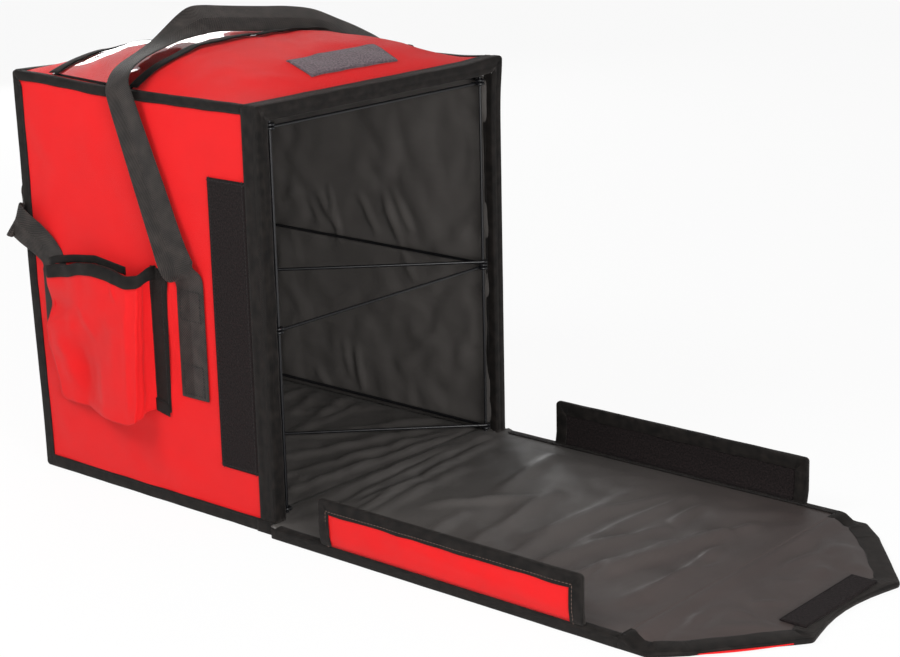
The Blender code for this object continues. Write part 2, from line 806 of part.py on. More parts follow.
flap_hinge = empty_at("flap_hinge", (0, hinge_y, flap_top))
hang_on(build_flap(), flap_hinge)
tongue_hinge = empty_at("tongue_hinge", (0, fold_y, tongue_top + gap))
hang_on(build_tongue(), tongue_hinge)
for wing_side, wing_sign in (("left", -1), ("right", 1)):
    wing_hinge = empty_at(f"{wing_side}_wing_hinge", (wing_sign * flap_half, 0, flap_top + gap))
    hang_on(build_wing(wing_side, wing_sign), wing_hinge)
front_hinge = empty_at("front_handle_hinge", (0, front_handle_y, handle_sewn_top + gap))
hang_on([build_front_handle()], front_hinge)
rear_hinge = empty_at("rear_handle_hinge", (0, hang_y, handle_sewn_top + rear_fold_up))
hang_on([build_rear_handle()], rear_hinge)
brace_pivot = empty_at("brace_pivot", post_places()["back_left"])
hang_on([low_brace, middle_brace], brace_pivot)
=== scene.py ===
# %% [markdown]
# # A pizza delivery bag in Blender
# This lesson dresses a ready-made frame: the solids of an insulated bag that stands on the floor with its
# flap open. Each step below says what a piece is on the real bag and why it is made the way it is.
# Every length is in metres, +Z is up, the mouth faces -Y and the pocket is on the -X side.

# %% Load the frame
import math

import bmesh
import bpy
import numpy as np
from mathutils import Matrix, Vector, noise


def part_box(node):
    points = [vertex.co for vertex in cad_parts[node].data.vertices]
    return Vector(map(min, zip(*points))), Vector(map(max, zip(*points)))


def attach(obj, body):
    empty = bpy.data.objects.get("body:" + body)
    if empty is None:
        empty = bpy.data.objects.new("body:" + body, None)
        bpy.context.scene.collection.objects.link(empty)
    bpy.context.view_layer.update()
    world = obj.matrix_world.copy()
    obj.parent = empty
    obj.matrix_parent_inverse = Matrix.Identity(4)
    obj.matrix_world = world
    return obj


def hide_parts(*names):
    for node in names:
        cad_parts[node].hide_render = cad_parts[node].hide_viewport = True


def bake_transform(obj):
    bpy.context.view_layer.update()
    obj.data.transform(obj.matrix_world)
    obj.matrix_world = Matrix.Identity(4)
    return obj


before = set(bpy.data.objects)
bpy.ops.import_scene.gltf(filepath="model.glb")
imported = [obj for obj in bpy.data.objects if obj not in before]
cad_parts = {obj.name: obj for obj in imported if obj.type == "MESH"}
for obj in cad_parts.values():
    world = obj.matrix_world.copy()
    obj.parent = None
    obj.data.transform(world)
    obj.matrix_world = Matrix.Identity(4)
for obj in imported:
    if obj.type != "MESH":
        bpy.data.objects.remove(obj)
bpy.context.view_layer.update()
scene = bpy.context.scene
scene.view_settings.view_transform = "Standard"

# %% [markdown]
# ## Where the bag is
# The frame already knows how big everything is, so the sizes that the cloth needs are read from its boxes
# and not typed again. The gap is the air that the frame leaves between two layers.

# %% Sizes read from the frame
gap = 0.0003
tape_thick = 0.001
tape_stand = tape_thick + gap
cloth_thick = 0.001
thin_cloth = 0.0009
sides = (("left", -1), ("right", 1))

outer_low, outer_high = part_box("left_outer")
half_width, front_y, back_y, top_z = -outer_low.x, outer_low.y, outer_high.y, outer_high.z
inner_half, base_top = -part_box("left_lining")[1].x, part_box("base_lining")[1].z
wall = half_width - inner_half
inner_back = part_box("back_lining")[0].y
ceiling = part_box("top_lining")[0].z
flap_low, flap_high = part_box("flap_lining")
fold_y, hinge_y = flap_low.y, flap_high.y
flap_edge = flap_high.x
flap_cloth_top = flap_high.z
tongue_tip_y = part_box("tongue_lining")[0].y
tongue_cloth_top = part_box("tongue_lining")[1].z
print(f"body {2 * half_width:.3f} x {back_y - front_y:.3f} x {top_z:.3f} m, wall {wall:.4f} m")

# %% [markdown]
# ## The camera
# The camera stands where the photograph was taken from: a little above the bag, in front of its left
# corner. Its place came from fitting the box's edges to the picture, so that both can be compared.

# %% Camera
camera_place = Vector((-1.46588, -1.50790, 0.73168))
camera_azimuth = math.radians(-49.373)
camera_elevation = math.radians(15.886)
camera_roll = math.radians(-1.287)
camera_lens = 81.217


def camera_axes(azimuth, elevation, roll):
    """Right, up and back of a camera that looks down on the origin's side from this direction."""
    back = Vector((math.sin(azimuth) * math.cos(elevation), -math.cos(azimuth) * math.cos(elevation),
                   math.sin(elevation)))
    right = (-back).cross(Vector((0, 0, 1))).normalized()
    up = right.cross(-back)
    turned_right = right * math.cos(roll) + up * math.sin(roll)
    turned_up = up * math.cos(roll) - right * math.sin(roll)
    return turned_right, turned_up, back


camera_data = bpy.data.cameras.new("photo_camera")
camera_data.lens = camera_lens
camera_data.sensor_width = 36
camera = bpy.data.objects.new("photo_camera", camera_data)
scene.collection.objects.link(camera)
camera_turn = Matrix(camera_axes(camera_azimuth, camera_elevation, camera_roll)).transposed()
camera.matrix_world = Matrix.Translation(camera_place) @ camera_turn.to_4x4()
scene.camera = camera

# %% [markdown]
# ## Building node trees
# One small helper makes a node, sets its options and fills or links its inputs. Both the materials and the
# Geometry Nodes trees below are built with it.

# %% Node helper


def add_node(tree, kind, inputs=(), **options):
    """A node with its options set, and each input given a value or linked to an output."""
    node = tree.nodes.new(kind)
    for key, value in options.items():
        setattr(node, key, value)
    for key, value in dict(inputs).items():
        if isinstance(value, bpy.types.NodeSocket):
            tree.links.new(value, node.inputs[key])
        else:
            node.inputs[key].default_value = value
    return node


def maths(tree, operation, first, second=0.0):
    return add_node(tree, "ShaderNodeMath", {0: first, 1: second}, operation=operation).outputs[0]


# %% [markdown]
# ## World, floor and lamps
# The real bag was photographed on white under soft light. A picture of a studio could light it, but three
# disk lamps are easier to balance: one above the left side, a low one towards the mouth, and one behind on
# the right. The floor and the world are white to the camera, but light the bag no more than they should,
# and black tape doesn't mirror the white sky.

# %% World, floor and lamps
floor_share_of_white = 0.92


def seen_directly(tree, in_reflections):
    """1 where the camera or a view through glass meets the surface, and a reflection too if asked."""
    path = add_node(tree, "ShaderNodeLightPath")
    seen = maths(tree, "MAXIMUM", path.outputs["Is Camera Ray"], path.outputs["Is Transmission Ray"])
    return maths(tree, "MAXIMUM", seen, path.outputs["Is Glossy Ray"]) if in_reflections else seen


def build_world():
    world = bpy.data.worlds.new("studio")
    world.use_nodes = True
    tree = world.node_tree
    tree.nodes.clear()
    soft = add_node(tree, "ShaderNodeBackground", {"Color": (1, 1, 1, 1), "Strength": 0.33})
    white = add_node(tree, "ShaderNodeBackground", {"Color": (1, 1, 1, 1), "Strength": 1.0})
    mix = add_node(tree, "ShaderNodeMixShader", {0: seen_directly(tree, False), 1: soft.outputs[0],
                                                 2: white.outputs[0]})
    add_node(tree, "ShaderNodeOutputWorld", {"Surface": mix.outputs[0]})
    scene.world = world


def build_floor():
    bpy.ops.mesh.primitive_plane_add(size=12, location=(0, 0, -0.0006))
    floor = bpy.context.object
    floor.name = "floor"
    material = bpy.data.materials.new("pale_floor")
    material.use_nodes = True
    tree = material.node_tree
    tree.nodes.clear()
    paint = add_node(tree, "ShaderNodeBsdfDiffuse", {"Color": (0.86, 0.86, 0.86, 1)})
    white = add_node(tree, "ShaderNodeEmission", {"Color": (1, 1, 1, 1), "Strength": 1.0})
    share = maths(tree, "MULTIPLY", seen_directly(tree, True), floor_share_of_white)
    mix = add_node(tree, "ShaderNodeMixShader", {0: share, 1: paint.outputs[0], 2: white.outputs[0]})
    add_node(tree, "ShaderNodeOutputMaterial", {"Surface": mix.outputs[0]})
    floor.data.materials.append(material)


def add_lamp(name, place, target, size, power):
    data = bpy.data.lights.new(name, "AREA")
    data.shape = "DISK"
    data.size = size
    data.energy = power
    lamp = bpy.data.objects.new(name, data)
    scene.collection.objects.link(lamp)
    lamp.location = place
    lamp.rotation_euler = (Vector(target) - Vector(place)).to_track_quat("-Z", "Y").to_euler()


build_world()
build_floor()
add_lamp("key_lamp", (-1.15, 0.35, 1.45), (-0.18, 0.0, 0.3), 0.8, 19)
add_lamp("mouth_lamp", (-0.85, -1.7, 0.55), (0.1, 0, 0.25), 0.9, 30)
add_lamp("back_lamp", (1.45, 2.2, 0.95), (0, 0.06, 0.45), 1.5, 22)

# %% [markdown]
# ## Fabrics as procedural finishes
# Cloth pieces carry a UV map in metres, along and across the cloth, so a thread has its real width on every
# piece. The weave is a product of two sines, the twill of the webbing runs diagonally, and slow noise makes
# the colour uneven, as dyed cloth is. Numbers that are the same all over sit on the shader itself.

# %% Pattern helpers


def start_finish(name, colour, roughness, **shader_values):
    material = bpy.data.materials.new(name)
    material.use_nodes = True
    shader = material.node_tree.nodes["Principled BSDF"]
    shader.inputs["Base Color"].default_value = (*colour, 1)
    shader.inputs["Roughness"].default_value = roughness
    for key, value in shader_values.items():
        shader.inputs[key.replace("_", " ")].default_value = value
    return material, material.node_tree, shader


def metres(tree):
    """Along and across the cloth, in metres."""
    place = add_node(tree, "ShaderNodeUVMap", uv_map="cloth")
    split = add_node(tree, "ShaderNodeSeparateXYZ", {0: place.outputs[0]})
    return split.outputs[0], split.outputs[1], place.outputs[0]


def waves(tree, length, pitch):
    """A sine of a length, one turn every pitch."""
    return maths(tree, "SINE", maths(tree, "MULTIPLY", length, 2 * math.pi / pitch))


def mottle(tree, place, grain, detail=3.0):
    """Slow noise between 0 and 1, its patches about a grain wide."""
    return add_node(tree, "ShaderNodeTexNoise", {"Vector": place, "Scale": 1 / grain, "Detail": detail},
                    noise_dimensions="3D").outputs[0]


def blend_colours(tree, share, dark, light):
    ramp = add_node(tree, "ShaderNodeMix", {0: share}, data_type="RGBA")
    ramp.inputs[6].default_value = (*dark, 1)
    ramp.inputs[7].default_value = (*light, 1)
    return ramp.outputs[2]


def ramp_between(tree, value, low, high):
    """0 below low, 1 above high, and even between them."""
    return add_node(tree, "ShaderNodeMapRange", {0: value, 1: low, 2: high}).outputs[0]


def paint(tree, shader, share, dark, light):
    tree.links.new(blend_colours(tree, share, dark, light), shader.inputs["Base Color"])


def on_object(tree):
    """A place on the object, in metres."""
    return add_node(tree, "ShaderNodeTexCoord").outputs["Object"]


def raise_bump(tree, shader, height, distance, strength, under=None):
    inputs = {"Height": height, "Distance": distance, "Strength": strength}
    if under is not None:
        inputs["Normal"] = under
    bump = add_node(tree, "ShaderNodeBump", inputs)
    tree.links.new(bump.outputs[0], shader.inputs["Normal"])
    return bump.outputs[0]


# %% [markdown]
# ## The finishes
# Each finish is one function, from the coated red cloth to the thread. A flat colour would do from afar.
# Close by, threads, ribs and stains catch the light, so each finish has a pattern with a real size.

# %% The finishes


def finish_red_cloth():
    """Coarse plain-weave polyester with a thin coat: matt, with a pale bloom at low angles."""
    material, tree, shader = start_finish(
        "red_oxford", (0.70, 0.006, 0.008), 0.60, Sheen_Weight=0.07, Sheen_Roughness=0.45,
        Sheen_Tint=(1, 0.72, 0.70, 1), Specular_IOR_Level=0.20)
    along, across, place = metres(tree)
    thread = 0.00095
    weave = maths(tree, "MULTIPLY", waves(tree, along, thread), waves(tree, across, thread))
    patches = mottle(tree, place, 0.045)
    threads = mottle(tree, place, 0.0016, 1.0)
    share = maths(tree, "ADD", maths(tree, "MULTIPLY", patches, 0.55), maths(tree, "MULTIPLY", threads, 0.35))
    paint(tree, shader, share, (0.60, 0.003, 0.0045), (0.76, 0.006, 0.0075))
    creases = raise_bump(tree, shader, mottle(tree, place, 0.012), 0.0006, 0.30)
    raise_bump(tree, shader, weave, 0.00018, 0.55, creases)
    return material


def finish_tape():
    """Folded polyester tape with fine ribs across it, a little shiny on their crests."""
    material, tree, shader = start_finish(
        "black_ribbed_tape", (0.014, 0.011, 0.010), 0.70, Sheen_Weight=0.06, Sheen_Roughness=0.40,
        Sheen_Tint=(0.80, 0.72, 0.68, 1), Specular_IOR_Level=0.15)
    along, across, place = metres(tree)
    ribs = waves(tree, along, 0.0011)
    cords = waves(tree, maths(tree, "ADD", along, across), 0.0021)
    wear = mottle(tree, place, 0.010)
    share = ramp_between(tree, maths(tree, "ADD", wear, maths(tree, "MULTIPLY", ribs, 0.10)), 0.35, 0.80)
    paint(tree, shader, share, (0.003, 0.0026, 0.0024), (0.015, 0.012, 0.0105))
    height = maths(tree, "ADD", ribs, maths(tree, "MULTIPLY", cords, 0.5))
    soft = raise_bump(tree, shader, wear, 0.0007, 0.35)
    raise_bump(tree, shader, height, 0.00016, 0.60, soft)
    return material


def finish_webbing():
    """Heavy webbing: a diagonal twill that turns back at the middle, with firm edges."""
    material, tree, shader = start_finish(
        "black_twill_webbing", (0.020, 0.017, 0.016), 0.62, Sheen_Weight=0.10, Sheen_Roughness=0.35,
        Sheen_Tint=(0.85, 0.80, 0.76, 1), Specular_IOR_Level=0.30)
    along, across, place = metres(tree)
    side = maths(tree, "ABSOLUTE", across)
    twill = waves(tree, maths(tree, "ADD", along, side), 0.0026)
    picks = waves(tree, along, 0.00095)
    wear = mottle(tree, place, 0.014)
    share = ramp_between(tree, maths(tree, "ADD", wear, maths(tree, "MULTIPLY", twill, 0.20)), 0.28, 0.86)
    paint(tree, shader, share, (0.005, 0.004, 0.0035), (0.040, 0.031, 0.027))
    height = maths(tree, "ADD", twill, maths(tree, "MULTIPLY", picks, 0.35))
    raise_bump(tree, shader, height, 0.00030, 0.80)
    return material


def finish_lining(name, dark, light):
    """Thin coated taffeta, smooth, with a wide soft shine on every crease."""
    material, tree, shader = start_finish(
        name, dark, 0.37, Sheen_Weight=0.03, Sheen_Roughness=0.3, Sheen_Tint=(0.9, 0.88, 0.86, 1),
        Specular_IOR_Level=0.45)
    along, across, place = metres(tree)
    patches = mottle(tree, place, 0.060)
    colour = blend_colours(tree, patches, dark, light)
    # Out along the flap, towards the tip of the tongue, the cloth turns darker and warmer.
    depth = add_node(tree, "ShaderNodeSeparateXYZ", {0: on_object(tree)}).outputs[1]
    far_out_colour = blend_colours(tree, patches, (0.036, 0.027, 0.025), (0.062, 0.047, 0.044))
    towards_bag = ramp_between(tree, depth, -0.600, -0.260)
    mix = add_node(tree, "ShaderNodeMix", {0: towards_bag, 6: far_out_colour, 7: colour}, data_type="RGBA")
    tree.links.new(mix.outputs[2], shader.inputs["Base Color"])
    thread = 0.0006
    weave = maths(tree, "MULTIPLY", waves(tree, along, thread), waves(tree, across, thread))
    stretched = add_node(tree, "ShaderNodeMapping", {0: place, 3: (1.0, 2.2, 1.0)})
    creases = add_node(tree, "ShaderNodeTexNoise",
                       {"Vector": stretched.outputs[0], "Scale": 26.0, "Detail": 3.0, "Distortion": 0.9})
    soft = raise_bump(tree, shader, creases.outputs[0], 0.0016, 0.30)
    raise_bump(tree, shader, weave, 0.00008, 0.35, soft)
    return material


def finish_fastener(name, dark, light, bloom):
    """A field of tiny hooks or loops: rough, speckled, and paler where the light grazes it."""
    material, tree, shader = start_finish(
        name, dark, 0.90, Sheen_Weight=bloom, Sheen_Roughness=0.55, Sheen_Tint=(0.95, 0.85, 0.88, 1),
        Specular_IOR_Level=0.15)
    place = metres(tree)[2]
    cells = add_node(tree, "ShaderNodeTexVoronoi", {"Vector": place, "Scale": 1 / 0.0013})
    specks = mottle(tree, place, 0.0018, 4.0)
    share = ramp_between(tree, specks, 0.38, 0.66)
    paint(tree, shader, share, dark, light)
    soft = raise_bump(tree, shader, specks, 0.0008, 0.8)
    raise_bump(tree, shader, cells.outputs["Distance"], 0.0008, 0.8, soft)
    return material


def finish_pane():
    """Clear soft plastic sheet."""
    material, _, _ = start_finish("clear_sheet", (0.98, 0.98, 0.98), 0.0, Transmission_Weight=1.0, IOR=1.5)
    return material


def finish_wire():
    """Steel wire under a thin black lacquer, with small uneven spots."""
    material, tree, shader = start_finish("black_lacquer", (0.006, 0.006, 0.007), 0.30,
                                          Specular_IOR_Level=0.35)
    spots = mottle(tree, on_object(tree), 0.004)
    tree.links.new(maths(tree, "ADD", maths(tree, "MULTIPLY", spots, 0.20), 0.22), shader.inputs["Roughness"])
    return material


def finish_foam():
    """Open foam, hidden in the walls."""
    material, tree, shader = start_finish("grey_foam", (0.55, 0.55, 0.53), 0.95)
    cells = add_node(tree, "ShaderNodeTexVoronoi", {"Vector": on_object(tree), "Scale": 1 / 0.0016})
    share = ramp_between(tree, cells.outputs["Distance"], 0.1, 0.7)
    paint(tree, shader, share, (0.62, 0.62, 0.60), (0.40, 0.40, 0.39))
    raise_bump(tree, shader, cells.outputs["Distance"], 0.0006, 0.7)
    return material


def finish_thread(name, colour):
    """Twisted sewing thread."""
    material, tree, shader = start_finish(name, colour, 0.8, Sheen_Weight=0.04, Specular_IOR_Level=0.15)
    ply = mottle(tree, on_object(tree), 0.0008)
    pale = [min(1.0, 1.5 * channel + 0.01) for channel in colour]
    paint(tree, shader, ply, colour, pale)
    return material


red_cloth = finish_red_cloth()
tape = finish_tape()
webbing = finish_webbing()
lining = finish_lining("grey_taffeta", (0.058, 0.053, 0.050), (0.090, 0.083, 0.078))
hooks = finish_fastener("black_hooks", (0.003, 0.002, 0.002), (0.015, 0.010, 0.010), 0.02)
# The loops' pale grey is partly their own colour and partly painted sheen, the bloom that light grazing the
# pile gives it.
loops = finish_fastener("grey_loops", (0.035, 0.026, 0.032), (0.150, 0.105, 0.120), 0.22)
pane_plastic = finish_pane()
lacquer = finish_wire()
foam = finish_foam()
black_thread = finish_thread("black_thread", (0.014, 0.013, 0.013))
brown_thread = finish_thread("brown_thread", (0.085, 0.055, 0.045))
print(len(bpy.data.materials), "materials")

# %% [markdown]
# ## From numbers to cloth
# A sheet starts as a grid whose two directions are real lengths along the cloth, and a rule that says where
# each point goes. The same lengths become the UV map. A strip, such as a tape, is a cross section that is
# carried along a row of stations. Both get a thickness and end as plain closed meshes.

# %% Mesh helpers


def link_mesh(name, points, faces, spots):
    """A mesh object with smooth faces and its UV map in metres."""
    mesh = bpy.data.meshes.new(name)
    mesh.from_pydata([tuple(point) for point in points], [], faces)
    corners = np.empty(len(mesh.loops), dtype=int)
    mesh.loops.foreach_get("vertex_index", corners)
    uv = mesh.uv_layers.new(name="cloth")
    uv.data.foreach_set("uv", np.asarray(spots, dtype=float)[corners].ravel())
    mesh.shade_smooth()
    obj = bpy.data.objects.new(name, mesh)
    scene.collection.objects.link(obj)
    return obj


def grid_faces(columns, rows):
    corners = [row * columns + column for row in range(rows - 1) for column in range(columns - 1)]
    return [(corner, corner + 1, corner + columns + 1, corner + columns) for corner in corners]


def cloth_sheet(name, across, along, place, lengths=(1, 1)):
    """An open sheet: place turns across and along into x, y and z. Shares need the lengths of a whole."""
    across_grid, along_grid = np.meshgrid(across, along)
    points = np.stack(np.broadcast_arrays(*place(across_grid, along_grid)), -1).reshape(-1, 3)
    spots = np.stack([across_grid, along_grid], -1).reshape(-1, 2) * lengths
    return link_mesh(name, points, grid_faces(len(across), len(along)), spots)


def settle(obj):
    """Turn what the modifiers make into the object's own plain mesh."""
    bpy.context.view_layer.update()
    made = bpy.data.meshes.new_from_object(obj.evaluated_get(bpy.context.evaluated_depsgraph_get()))
    old = obj.data
    obj.modifiers.clear()
    obj.data = made
    bpy.data.meshes.remove(old)
    return obj


def turn_outwards(obj):
    builder = bmesh.new()
    builder.from_mesh(obj.data)
    bmesh.ops.remove_doubles(builder, verts=builder.verts, dist=1e-6)
    bmesh.ops.recalc_face_normals(builder, faces=builder.faces)
    builder.to_mesh(obj.data)
    builder.free()
    return obj


def give_thickness(obj, thickness):
    """Thicken a sheet evenly to both sides, with soft edges."""
    solidify = obj.modifiers.new("thickness", "SOLIDIFY")
    solidify.thickness = thickness
    solidify.offset = 0
    settle(obj)
    return turn_outwards(obj)


def thick_sheet(name, across, along, place, thickness):
    return give_thickness(cloth_sheet(name, across, along, place), thickness)


def sweep(name, rings, lengths):
    """A closed solid through rings of points, its UV map along the rings' lengths."""
    rings = np.asarray(rings, dtype=float)
    count, size = rings.shape[:2]
    around = np.concatenate([[0], np.cumsum(np.linalg.norm(np.diff(rings[count // 2], axis=0), axis=1))])
    around -= around[-1] / 4
    spots = np.stack(np.broadcast_arrays(np.asarray(lengths)[:, None], around[None, :]), -1)
    faces = []
    for row in range(count - 1):
        for column in range(size):
            beside = (column + 1) % size
            faces.append((row * size + column, row * size + beside,
                          (row + 1) * size + beside, (row + 1) * size + column))
    faces.append(tuple(reversed(range(size))))
    faces.append(tuple(range((count - 1) * size, count * size)))
    return turn_outwards(link_mesh(name, rings.reshape(-1, 3), faces, spots.reshape(-1, 2)))


def points_of(obj):
    points = np.empty(3 * len(obj.data.vertices))
    obj.data.vertices.foreach_get("co", points)
    return points.reshape(-1, 3)


def lift_corners(obj):
    """The sewn box isn't quite square: its corners stand up, and a strap pulls the back left edge out."""
    points = points_of(obj)
    x, y, z = points.T
    back = smooth_step(-x, 0.0, 0.17) * smooth_step(y, 0.02, 0.17) * smooth_step(z, 0.30, 0.42)
    front = np.exp(-(np.linalg.norm(points - (half_width, front_y, top_z), axis=1) / 0.03) ** 2)
    pulled = smooth_step(-x, 0.150, 0.172) * smooth_step(y, 0.100, 0.170) * smooth_step(z, 0.02, 0.24)
    pulled = pulled * smooth_step(top_z - z, 0.0, 0.13) * (obj.data.name != "rear_strap_end_left")
    points += back[:, None] * (-0.002, 0.004, 0.006) + front[:, None] * (0.004, 0.0, 0.003)
    points += pulled[:, None] * (0.0, 0.0055, 0.0)
    obj.data.vertices.foreach_set("co", points.ravel())
    obj.data.update()


def finished(obj, material, body, *nodes):
    """Give a piece its finish and its body, and hide the frame's nodes that it stands for."""
    if body in (None, "bag") and material is not lacquer:
        lift_corners(obj)
    obj.data.materials.clear()
    obj.data.materials.append(material)
    if body:
        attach(obj, body)
    if nodes:
        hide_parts(*nodes)
    return obj


def spaced(start, end, step):
    """Evenly spaced places from start to end, about a step apart."""
    return np.linspace(start, end, max(2, round(abs(end - start) / step) + 1))


def smooth_step(value, low, high):
    share = np.clip((value - low) / (high - low), 0, 1)
    return share * share * (3 - 2 * share)


def inside(value, low, high, reach):
    """0 at both ends of a range, and 1 further in than reach."""
    return smooth_step(np.minimum(value - low, high - value), 0, reach)


def ripple(points, grain, seed):
    """Smooth noise between about -1 and 1 at each point."""
    shift = Vector((seed, 2.3 * seed, -1.7 * seed))
    return np.array([noise.noise(Vector(point) / grain + shift) for point in points])


def ripple_grid(first, second, grain, seed):
    spots = np.stack([first, second, np.zeros_like(first)], -1).reshape(-1, 3)
    return ripple(spots, grain, seed).reshape(first.shape)


def folds_height(first, second, folds):
    """Soft ridges that fade at both ends. A fold is its start, its end, its half width and its height."""
    height = np.zeros_like(first)
    for *ends, width, rise in folds:
        start, end = np.reshape(ends, (2, 2))
        run = end - start
        share = ((first - start[0]) * run[0] + (second - start[1]) * run[1]) / (run @ run)
        held = np.clip(share, 0, 1)
        away = np.hypot(first - start[0] - held * run[0], second - start[1] - held * run[1])
        height += rise * np.exp(-(away / width) ** 2) * np.sqrt(np.sin(np.pi * np.clip(share, 0.001, 0.999)))
    return height


def thousandths(rows):
    """A table in millimetres, or in thousandths of a piece, as lengths."""
    return np.array(rows) / 1000


def blur(grid, times):
    """Average neighbours a number of times."""
    for _ in range(times):
        wide = np.pad(grid, 1, mode="edge")
        beside = wide[:-2, 1:-1] + wide[2:, 1:-1] + wide[1:-1, :-2] + wide[1:-1, 2:]
        grid = (grid * 2 + beside) / 6
    return grid


# %% [markdown]
# ## Wrinkles from a simulation
# Lining is cut larger than its wall, and the spare cloth has to go somewhere. Blender's cloth solver finds
# where: a flat sheet is held at its rim, grows by a few percent and buckles. Its slow hills are taken away,
# because foam would press them flat, and what stays is a field of small creases for the pieces below.

# %% Simulate a loose sheet
sheet_step = 0.005
sheet_frames = 20


def loose_sheet(width, length, extra, bending):
    """Heights of a sheet that is held at its rim and cut larger than its frame by a share."""
    columns, rows = round(width / sheet_step) + 1, round(length / sheet_step) + 1
    sheet = cloth_sheet("loose_sheet", np.linspace(0, width, columns), np.linspace(0, length, rows),
                        lambda x, y: (x, y, 0.0012 * ripple_grid(x, y, 0.03, 3)))
    rim = [row * columns + column for row in range(rows) for column in range(columns)
           if row in (0, rows - 1) or column in (0, columns - 1)]
    sheet.vertex_groups.new(name="held").add(rim, 1.0, "REPLACE")
    cloth = sheet.modifiers.new("cloth", "CLOTH")
    for key, value in dict(quality=6, mass=0.1, tension_stiffness=40, compression_stiffness=40,
                           shear_stiffness=13, bending_stiffness=bending, vertex_group_mass="held",
                           shrink_min=-extra).items():
        setattr(cloth.settings, key, value)
    cloth.settings.effector_weights.gravity = 0
    cloth.collision_settings.use_collision = False
    cloth.point_cache.frame_end = sheet_frames
    for number in range(1, sheet_frames + 1):
        scene.frame_set(number)
    heights = points_of(settle(sheet))[:, 2].reshape(rows, columns)
    bpy.data.objects.remove(sheet)
    scene.frame_set(1)
    return heights


def wrinkle_field(width, length, extra, bending, peak, softness):
    """The creases of a loose sheet as a function of two lengths from its corner, no higher than the peak."""
    heights = loose_sheet(width, length, extra, bending)
    heights = heights - blur(heights, 50)
    finer = 3
    rows, columns = heights.shape
    spots = np.arange((columns - 1) * finer + 1) / finer
    heights = np.array([np.interp(spots, np.arange(columns), row) for row in heights])
    spots = np.arange((rows - 1) * finer + 1) / finer
    heights = np.array([np.interp(spots, np.arange(rows), column) for column in heights.T]).T
    heights = peak * np.tanh(blur(heights, softness) / peak)
    print("wrinkles: deepest %.1f mm, usual %.2f mm" % (1000 * np.abs(heights).max(), 1000 * heights.std()))

    def at(first, second):
        column = np.clip(first / width, 0, 0.9999) * (heights.shape[1] - 1)
        row = np.clip(second / length, 0, 0.9999) * (heights.shape[0] - 1)
        left, low = column.astype(int), row.astype(int)
        right_share, high_share = column - left, row - low
        lower = heights[low, left] * (1 - right_share) + heights[low, left + 1] * right_share
        upper = heights[low + 1, left] * (1 - right_share) + heights[low + 1, left + 1] * right_share
        return lower * (1 - high_share) + upper * high_share

    return at


wall_wrinkles = wrinkle_field(0.346, 0.420, 0.020, 0.005, 0.0030, 12)
flap_wrinkles = wrinkle_field(0.370, 0.430, 0.030, 0.050, 0.0040, 40)

# %% [markdown]
# ## Stations along an edge
# A tape follows the rim of a panel. Its path is a line with rounded corners, and each station on it turns
# "this far in from the edge" into a point. Inside a corner the tape's inner legs meet in a mitre, as folded
# tape does, while its outer side goes round.

# %% Edge path helpers


def rounded_stations(corners, radius, step):
    """Stations along a line with the material on its left: (length so far, function of inward distance)."""
    corners = [Vector(corner) for corner in corners]
    headings = [(b - a).normalized() for a, b in zip(corners, corners[1:])]
    slopes = [math.tan(max(0.0, -a.angle_signed(b)) / 2) for a, b in zip(headings, headings[1:])]
    slopes = [0.0] + slopes + [0.0]
    stations, travelled = [], 0.0
    for index, heading in enumerate(headings):
        start, end = corners[index], corners[index + 1]
        inwards = Vector((-heading.y, heading.x))
        trims = []
        for at, other in ((index, headings[index - 1] if index else None),
                          (index + 1, headings[index + 1] if index + 1 < len(headings) else None)):
            trims.append(radius * math.tan(abs(heading.angle_signed(other)) / 2) if other else 0.0)
        first, last = start + heading * trims[0], end - heading * trims[1]
        length = (last - first).length
        for share in np.linspace(0, 1, max(2, round(length / step) + 1)):
            def beside(inward, share=share, first=first, last=last, length=length, inwards=inwards,
                       slopes=slopes[index:index + 2]):
                spare = max(inward - radius, 0)
                run = min(max(share * length, spare * slopes[0]), max(length - spare * slopes[1], length / 2))
                return first.lerp(last, run / length) + inwards * inward

            stations.append((travelled + share * length, beside))
        travelled += length
        if index + 1 < len(headings):
            following = headings[index + 1]
            turn = -heading.angle_signed(following)
            side = 1 if turn >= 0 else -1
            centre = last + inwards * radius * side
            halving = (inwards + Vector((-following.y, following.x))).normalized() * side
            for share in (0.2, 0.4, 0.6, 0.8):
                spoke = Matrix.Rotation(turn * share, 2) @ (-inwards * side)

                def at(inward, centre=centre, spoke=spoke, halving=halving, side=side, turn=turn):
                    left_over = radius - inward * side
                    if left_over >= 0:
                        return centre + spoke * left_over
                    return centre + halving * (-left_over) / math.cos(turn / 2)

                stations.append((travelled + share * abs(turn) * radius, at))
            travelled += abs(turn) * radius
    return stations


def soften(outline, radius):
    """A closed outline with each corner replaced by a short curve."""
    points = [Vector(point) for point in outline]
    soft = []
    for index, corner in enumerate(points):
        before, after = points[index - 1], points[(index + 1) % len(points)]
        reach = min(radius, 0.45 * (corner - before).length, 0.45 * (after - corner).length)
        first = corner + (before - corner).normalized() * reach
        last = corner + (after - corner).normalized() * reach
        soft += [first, first * 0.25 + corner * 0.5 + last * 0.25, last]
    return soft


def turned_section(leg, wrap):
    """A tape turned over an edge: a leg on the face, and a wrap on the other side of the edge."""
    return [(-tape_stand, -tape_stand), (leg, -tape_stand), (leg, -gap), (-gap, -gap), (-gap, wrap),
            (-tape_stand, wrap)]


def folded_section(under, over, stack):
    """A tape folded over the edge of a stack of cloth, with a leg under it and one over it."""
    return [(-tape_stand, -tape_stand), (under, -tape_stand), (under, -gap), (-gap, -gap),
            (-gap, stack + gap), (over, stack + gap), (over, stack + tape_stand),
            (-tape_stand, stack + tape_stand)]


seams = {}


def sew(points, body="bag", thread=black_thread):
    """Remember a line of stitches, to be made at the end."""
    seams.setdefault((body, thread.name), []).append([Vector(point) for point in points])


